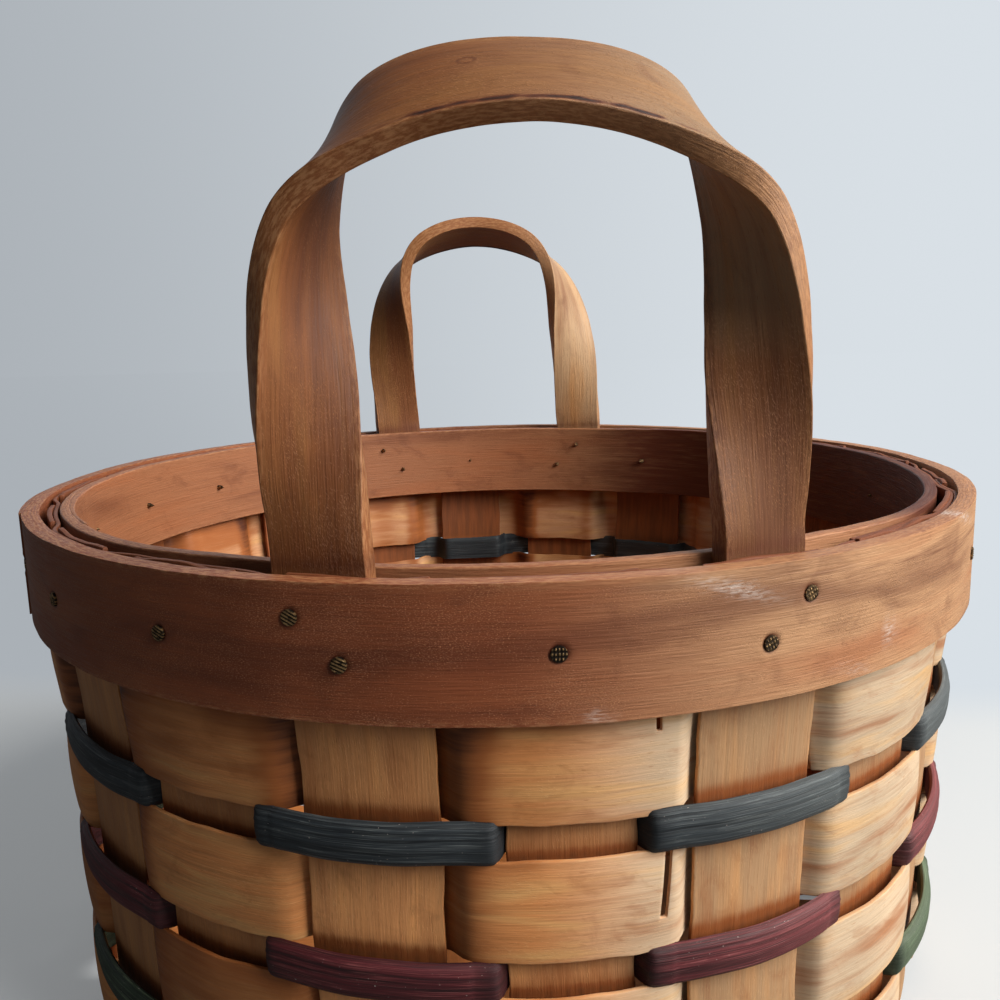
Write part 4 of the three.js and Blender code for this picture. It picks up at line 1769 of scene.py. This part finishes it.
            # Paler on the side toward the light: partly bleached wood, partly a painted sheen.
            bleach_and_sheen_share = wall.bleach_and_sheen(angle_of(along), -0.14, 0.42)
            return 1.1 * bleach_and_sheen_share + 0.3 * strip(along, across)[0] + (0.0 if is_outer else 0.3)

        def grime(along: Array, across: Array) -> Array:
            angle = angle_of(along)
            nails = self.from_nails(angle, wall.rim_top - height + across, around)
            ring = np.exp(-(np.minimum.reduce(nails) ** 4)) * 0.8
            ring = np.maximum(ring, 0.28 * strip(along, across)[1])
            turned = turn_from(angle)
            # Painted shadow on the inner band's inner face, on the side where it is turned from the
            # light.
            painted_shadow = 0.5 * ease(turned, 0.5, 0.9) * ease(turned, 2.9, 2.4)
            return ring if is_outer else 0.1 * ring + painted_shadow

        def chalk(along: Array, across: Array) -> Array:
            dust = self.chalk(turn_from(angle_of(along)), height - across, around)
            return dust * (1 if is_outer else 0)

        marks = {
            "edge": edge_mark(height, self.edge_wear),
            "smooth": smooth,
            "grime": grime,
            "chalk": chalk,
            "tone": lambda along, across: 0.3 * ripple(seed + 4, along, 0.2),
            "pale": pale,
        }
        offsets = [((angle - start) % (2 * math.pi)) * around + extra
                   for angle, _ in self.nail_spots for extra in (0.0, 2 * math.pi * around)]
        centres = sorted(outwards(offset) for offset in offsets if offset < length)
        places = np.linspace(0, length, round(length / self.column_step))
        places = finer_near(places, centres, 1.5 * self.dent_radius, self.dent_step)
        heights = sorted({round(nail.z - wall.rim_top + height, 4) for nail in self.nails})
        rows = rows_across(height, self.row_step)
        rows = finer_near(rows, heights, 1.4 * self.dent_radius, 0.6 * MM)
        piece = Bench.lay(f"{node}_strip", places, rows, surface, marks,
                          (seed * 0.13, seed * 0.07))
        columns = np.tile(places, len(rows))
        Bench.weigh(piece, "thin", ease(np.minimum(columns, length - columns), 0, lap))
        Bench.thicken(piece, thickness, -1.0, "thin", self.lap_tip)
        Bench.soften(piece, self.edge_radius, 3)
        return piece


@dataclass
class Handles:
    """The two hoops, each one strip bent over and twisted a quarter turn at each leg."""

    wall: Wall
    finish: WoodFinish = HANDLE_WOOD
    lean: float = 2.4 * MM
    leg_trim: float = 1 * MM
    leg_straight: float = 5 * MM
    straight_at: float = 0.94
    foot_at: float = 1.0
    tip_at: float = 1.22
    crown: float = 0.4 * MM
    crown_start: float = 5 * MM
    crown_full: float = 30 * MM
    waver: Wave = Wave(0.16 * MM, 50 * MM)
    nicks: Wave = Wave(0.04 * MM, 14 * MM)
    bark_below: float = 0.8 * MM
    bark_width: float = 0.36 * MM
    bark_reach: float = 24 * MM
    bark_waver: Wave = Wave(0.15 * MM, 8 * MM)
    column_count: int = 300
    row_step: float = 1.4 * MM
    edge_radius: float = 0.75 * MM
    edge_wear: float = 0.9 * MM

    def build(self) -> None:
        """Makes both handles."""
        material = self.finish.material()
        for handle in HANDLES:
            piece = self.hoop(handle)
            Bench.hand_over(piece, material, "handle_wood", handle.node)

    def stations(self, handle: Handle) -> tuple[Array, Array]:
        """Lists the stations from the left leg's tip over the arch to the right one's.

        Args:
            handle: the handle's place and size.

        Returns:
            Where each station lies along the path, and its point and twist.
        """
        wall = self.wall
        leg = wall.step + handle.leg_offset / wall.leg_radius
        foot_x, foot_y = wall.leg_radius * math.sin(leg), -wall.leg_radius * math.cos(leg)
        half = [
            (p.along, p.out * handle.half_span, foot_y + p.lean * self.lean,
             wall.rim_top + p.up * handle.rise, math.radians(p.twist))
            for p in handle.path
        ]
        leg_twist = -math.pi / 2 - leg
        for at, height in (
            (self.straight_at, wall.rim_top + self.leg_straight),
            (self.foot_at, wall.rim_top),
            (self.tip_at, wall.rim_top - wall.band_height + self.leg_trim),
        ):
            half.append((at, foot_x, foot_y, height, leg_twist))
        left = [(-at, -x, y, z, twist) for at, x, y, z, twist in reversed(half[1:])]
        table = np.array(left + half)
        above = np.maximum(0.0, table[:, 3] - wall.rim_top) / handle.rise
        table[:, 1] += handle.sway * above
        return table[:, 0], table[:, 1:]

    @staticmethod
    def through_stations(at: Array, knots: Array, values: Array) -> Array:
        """Runs a smooth curve through the stations, straight at both ends.

        Args:
            at: where to look along the path.
            knots: where the stations lie.
            values: what each station holds.

        Returns:
            The values at each place.
        """
        last = len(knots) - 1
        after = np.clip(np.searchsorted(knots, at, side="right"), 1, last)
        before = after - 1
        earlier = np.where(before > 0, before - 1, after)
        later = np.where(after < last, after + 1, before)
        width = knots[after] - knots[before]
        weigh_back = width / 2 / (knots[before] - knots[earlier])
        weigh_on = width / 2 / (knots[later] - knots[after])
        p = (at - knots[before]) / width
        back = -weigh_back * p**3 + 2 * weigh_back * p**2 - weigh_back * p
        here = (1 + weigh_back) * p**3 + (-1.5 - 2 * weigh_back) * p**2
        here = here + (-0.5 + weigh_back) * p + 1
        there = (-1 - weigh_on) * p**3 + (1.5 + weigh_on) * p**2 + 0.5 * p
        beyond = weigh_on * p**3 - weigh_on * p**2
        parts = ((back, earlier), (here, before), (there, after), (beyond, later))
        return sum(share[:, None] * values[index] for share, index in parts)

    def hoop(self, handle: Handle) -> Piece:
        """Bends and twists one handle.

        Args:
            handle: the handle's place and size.

        Returns:
            The finished piece.
        """
        wall = self.wall
        knots, values = self.stations(handle)
        shares = np.linspace(-self.tip_at, self.tip_at, self.column_count + 1)
        table = self.through_stations(shares, knots, values)
        centre, twist = table[:, :3], table[:, 3]
        tangent = np.gradient(centre, axis=0)
        tangent /= np.linalg.norm(tangent, axis=1)[:, None]
        level = np.array([0.0, 1.0, 0.0]) - tangent * tangent[:, 1:2]
        level /= np.linalg.norm(level, axis=1)[:, None]
        lifted = np.cross(tangent, level)
        across_way = np.cos(twist)[:, None] * level + np.sin(twist)[:, None] * lifted
        length = lengths_along(centre)
        spin = np.array(Matrix.Rotation(handle.angle, 3, "Z"))
        centre, across_way = centre @ spin.T, across_way @ spin.T
        facing = np.cross(tangent @ spin.T, across_way)
        above = centre[:, 2] - wall.rim_top
        facing *= self.crown * ease(above, self.crown_start, self.crown_full)[:, None]
        width, seed = handle.width, handle.seed
        middle = length[-1] / 2

        def surface(along: Array, across: Array) -> Array:
            side = across - width / 2
            share = 2 * side / width
            worn = self.waver.at(seed, along) + self.nicks.at(seed + 1, along)
            side = side + np.sign(side) * worn * share**2
            crowned = read_at(facing, length, along) * (1 - share**2)[:, None]
            out = read_at(across_way, length, along) * side[:, None]
            return read_at(centre, length, along) + out + crowned

        def grime(along: Array, across: Array) -> Array:
            arch = np.exp(-(((along - middle) / self.bark_reach) ** 4))
            ragged = 0.8 + 0.7 * ripple(seed + 6, along, 0.011)
            line = across - self.bark_below - self.bark_waver.at(seed + 7, along)
            bark = np.exp(-((line / self.bark_width) ** 2)) * arch * ragged
            foot = np.minimum(along, length[-1] - along) - wall.band_height
            return np.clip(1.5 * bark, 0, 1) + 0.35 * np.exp(-np.abs(foot) / (3 * MM))

        def by_place(table: tuple[tuple[float, float], ...], along: Array) -> Array:
            return np.interp((along - middle) / middle, *zip(*table))

        marks = {
            "edge": edge_mark(width, self.edge_wear),
            "grime": grime,
            # The tone takes off the painted shade, and the pale mark is partly a painted sheen.
            "tone": lambda along, across: (
                0.25 * ripple(seed + 4, along, 0.12) - by_place(handle.painted_shade, along)),
            "pale": lambda along, across: by_place(handle.pale_and_sheen, along),
        }
        rows = finer_near(rows_across(width, self.row_step), [0.6 * MM], 1.2 * MM, 0.3 * MM)
        piece = Bench.lay(f"{handle.node}_strip", length, rows, surface, marks,
                          (seed * 0.11, seed * 0.05))
        Bench.thicken(piece, wall.handle)
        Bench.soften(piece, self.edge_radius, 3)
        return piece


@dataclass
class Nails:
    """The small nails with hatched heads, one mesh each."""

    wall: Wall
    places: dict[str, Vector]
    head_radius: float = 1.5 * MM
    head_height: float = 0.6 * MM
    shank_radius: float = 0.75 * MM
    hatch: float = 0.62 * MM
    hatch_depth: float = 0.22 * MM
    squares: int = 18
    sunk: float = 0.28 * MM
    eased: float = 0.12 * MM
    point: float = 0.05
    left_slant: float = 1.1
    right_slant: float = 0.75
    slant_spread: float = 0.12

    def build(self) -> None:
        """Makes every nail."""
        material = NailFinish().material()
        for number, (node, place) in enumerate(self.places.items()):
            piece = self.nail(node, place, number)
            Bench.hand_over(piece, material, "nail_metal", node)

    def nail(self, node: str, place: Vector, number: int) -> Piece:
        """Makes one nail, its head outside the band and its point inside.

        Args:
            node: the frame's node that it stands for.
            place: the middle of that node.
            number: turns the hatching, so that no two heads look alike.

        Returns:
            The finished piece.
        """
        low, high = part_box(node)
        reach = (high - low).to_2d().length
        angle = math.atan2(place.x, -place.y)
        crossed, to_right, worn = (
            float(ease(np.array(angle), *ends)) for ends in ((-0.2, 0.0), (0.1, 0.5), (0.2, 0.5)))
        turn = (1 - crossed) * self.left_slant + crossed * to_right * self.right_slant
        turn += self.slant_spread * math.sin(number * 2.3)

        def height(x: Array, y: Array) -> Array:
            slant = x * math.cos(turn) + y * math.sin(turn)
            other = -x * math.sin(turn) + y * math.cos(turn)
            ridge = 0.5 + 0.5 * np.cos(2 * math.pi * slant / self.hatch)
            cross = 0.5 + 0.5 * np.cos(2 * math.pi * other / (1.4 * self.hatch))
            return ridge * (1 - crossed + crossed * cross)

        def plan(along: Array, across: Array) -> tuple[Array, Array]:
            x, y = along - self.head_radius, across - self.head_radius
            square = np.maximum(np.abs(x), np.abs(y))
            fit = square / np.maximum(np.hypot(x, y), 1e-9)
            return x * fit, y * fit

        def surface(along: Array, across: Array) -> Array:
            x, y = plan(along, across)
            rim = ease(np.hypot(x, y), self.head_radius, 0.82 * self.head_radius)
            out = self.head_height + self.hatch_depth * (height(x, y) - 0.6) * rim
            return np.stack([x, y, out - (1 - rim) * self.eased], axis=-1)

        def ridge_mark(along: Array, across: Array) -> Array:
            x, y = plan(along, across)
            return np.clip(ease(height(x, y), 0.35, 0.85) + 0.4 * worn, 0, 1)

        spaces = np.linspace(0, 2 * self.head_radius, self.squares + 1)
        head = Bench.lay(node + "_metal", spaces, spaces, surface, {"ridge": ridge_mark})
        self.add_side_and_shank(head, reach)
        seat = self.wall.rim_radius - self.sunk
        stand = Matrix.Rotation(angle, 4, "Z") @ Matrix.Translation((0, -seat, place.z))
        head.data.transform(stand @ Matrix.Rotation(math.pi / 2, 4, "X"))
        Bench.smooth(head, 35)
        return head

    def add_side_and_shank(self, head: Piece, reach: float) -> None:
        """Draws the head's rim down, closes it under the head and runs the shank to its point.

        Args:
            head: the laid top of the head.
            reach: the nail's full length.
        """
        Bench.take(head)
        bpy.ops.object.mode_set(mode="EDIT")
        bpy.ops.mesh.select_all(action="DESELECT")
        bpy.ops.mesh.select_mode(type="EDGE")
        bpy.ops.mesh.select_non_manifold()
        for down, narrow in (
            (self.head_height, 1.0),
            (0.0, self.shank_radius / self.head_radius),
            (reach - 3 * self.shank_radius, 1.0),
            (2 * self.shank_radius, self.point),
        ):
            bpy.ops.mesh.extrude_region_move(TRANSFORM_OT_translate={"value": (0, 0, -down)})
            bpy.ops.transform.resize(value=(narrow, narrow, 1), center_override=(0, 0, 0))
        bpy.ops.mesh.edge_face_add()
        bpy.ops.object.mode_set(mode="OBJECT")


@dataclass
class Studio:
    """The pale floor and backdrop, the soft window and the camera."""

    wall: Wall
    eye: tuple[float, float, float] = (-28.58 * MM, -282.51 * MM, 43.1 * MM)
    yaw: float = math.radians(5.85)
    pitch: float = math.radians(10.39)
    roll: float = math.radians(-1.36)
    lens: float = 35.06
    sensor: float = 36.0
    floor_size: float = 8.0
    table_end: float = 0.135
    table_fade: float = 0.07
    table_slant: float = 0.22
    table_reach: float = 0.3
    left: Colour = tint(170, 176, 182)
    right: Colour = tint(217, 224, 230)
    table: Colour = tint(180, 183, 184)
    table_bounce: Colour = tint(96, 96, 96)
    table_glow: float = 0.35
    key_azimuth: float = math.radians(60)
    key_height: float = math.radians(35)
    key_distance: float = 1.4
    key_size: float = 1.1
    key_power: float = 41.0
    key_aim: float = 0.8
    key_colour: Colour = tint(255, 252, 248)
    sky: Colour = tint(226, 232, 240)

    def build(self) -> None:
        """Makes the whole stage."""
        self.camera()
        self.floor()
        self.surround()
        self.window()
        bpy.context.scene.view_settings.view_transform = "Standard"

    def camera(self) -> None:
        """Stands the camera where the photograph was taken."""
        data = bpy.data.cameras.new("photo_camera")
        data.lens = self.lens
        data.sensor_width = self.sensor
        data.sensor_fit = "HORIZONTAL"
        data.clip_start = 0.01
        camera = bpy.data.objects.new("photo_camera", data)
        bpy.context.scene.collection.objects.link(camera)
        ahead = Vector((
            math.sin(self.yaw) * math.cos(self.pitch),
            math.cos(self.yaw) * math.cos(self.pitch),
            -math.sin(self.pitch),
        ))
        right = Vector((math.cos(self.yaw), -math.sin(self.yaw), 0))
        up = right.cross(ahead)
        right, up = (
            right * math.cos(self.roll) + up * math.sin(self.roll),
            up * math.cos(self.roll) - right * math.sin(self.roll),
        )
        turned = Matrix((right, up, -ahead)).transposed().to_4x4()
        x, y, above_rim = self.eye
        camera.matrix_world = Matrix.Translation((x, y, self.wall.rim_top + above_rim)) @ turned
        bpy.context.scene.camera = camera

    def backdrop(self, shader: Shader, way: Value) -> Value:
        """Gives the backdrop's colour in a direction: darker to the left, paler to the right.

        Args:
            shader: the node tree to work in.
            way: the direction.

        Returns:
            The colour.
        """
        right, _, _ = shader.split(way)
        return shader.mix(shader.span(right, -0.5, 0.55), self.left, self.right)

    def floor(self) -> None:
        """Lays a pale table that fades into the backdrop behind and far away."""
        Bench.clear()
        bpy.ops.mesh.primitive_plane_add(size=self.floor_size)
        floor = bpy.context.object
        floor.name = "floor"
        paper = Shader(bpy.data.materials.new("pale_table"))
        place = paper.read("ShaderNodeTexCoord", output="Object")
        right, back, _ = paper.split(place)
        back = right * self.table_slant + back
        far = paper.math(
            "MAXIMUM",
            paper.span(back, self.table_end, self.table_end + self.table_fade),
            paper.span(paper.vector_math("LENGTH", place, output="Value"),
                       self.table_reach, 3 * self.table_reach),
        )
        seen = paper.read("ShaderNodeLightPath", output="Is Camera Ray")
        paper.feed("Principled BSDF", {
            "Base Color": paper.mix(seen, self.table_bounce, self.table),
            "Roughness": 0.8,
            "Emission Color": self.table,
            "Emission Strength": seen * self.table_glow,
        })
        backdrop = self.backdrop(paper, paper.vector_math("NORMALIZE", place))
        blend = paper.read("ShaderNodeMixShader", {
            0: far * seen,
            1: Value(paper, paper.tree.nodes["Principled BSDF"].outputs[0]),
            2: paper.read("ShaderNodeEmission", {"Color": backdrop}),
        })
        paper.feed("Material Output", {"Surface": blend})
        floor.data.materials.append(paper.owner)

    def surround(self) -> None:
        """Surrounds the stage with soft light and shows the camera a plain backdrop."""
        world = bpy.data.worlds.new("studio")
        bpy.context.scene.world = world
        sky = Shader(world)
        way = sky.read("ShaderNodeTexCoord", output="Generated")
        right, back, _ = sky.split(way)
        sky.feed("Background", {
            "Color": self.sky,
            "Strength": sky.span(right, -0.2, 1.0, 0.11, 0.3) + sky.span(back, 0.35, 1.0, 0.0, 0.8),
        })
        shown = {"Color": self.backdrop(sky, way), "Strength": 1.0}
        blend = sky.read("ShaderNodeMixShader", {
            0: sky.read("ShaderNodeLightPath", output="Is Camera Ray"),
            1: Value(sky, sky.tree.nodes["Background"].outputs[0]),
            2: sky.read("ShaderNodeBackground", shown),
        })
        sky.feed("World Output", {"Surface": blend})

    def window(self) -> None:
        """Hangs one large soft window at the right, facing the basket."""
        data = bpy.data.lights.new("key_window", "AREA")
        data.shape = "SQUARE"
        data.size = self.key_size
        data.energy = self.key_power
        data.color = self.key_colour[:3]
        lamp = bpy.data.objects.new("key_window", data)
        bpy.context.scene.collection.objects.link(lamp)
        level = self.key_distance * math.cos(self.key_height)
        aim = Vector((0, 0, self.key_aim * self.wall.rim_top))
        lamp.location = aim + Vector((
            level * math.sin(self.key_azimuth), -level * math.cos(self.key_azimuth),
            self.key_distance * math.sin(self.key_height)))
        lamp.rotation_euler = (aim - lamp.location).to_track_quat("-Z", "Y").to_euler()


def nail_places(nodes: dict[str, Piece]) -> dict[str, Vector]:
    """Finds the middle of every nail in the frame.

    Args:
        nodes: the frame's nodes by name.

    Returns:
        The middle of each nail's box by its node's name.
    """
    nails = [node for node in sorted(nodes) if "_nail_" in node]
    return {node: sum(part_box(node), Vector()) / 2 for node in nails}


def main() -> None:
    """Loads the frame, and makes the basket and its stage."""
    logging.basicConfig(level=logging.INFO, format="%(name)s %(message)s")
    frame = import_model()
    wall = Wall.from_frame()
    nails = nail_places(frame["nodes"])
    Studio(wall).build()
    for part in (Splints(wall), Weavers(wall), Reeds(wall),
                 RimBands(wall, list(nails.values())), Handles(wall), Nails(wall, nails)):
        part.build()


if __name__ == "__main__":
    main()
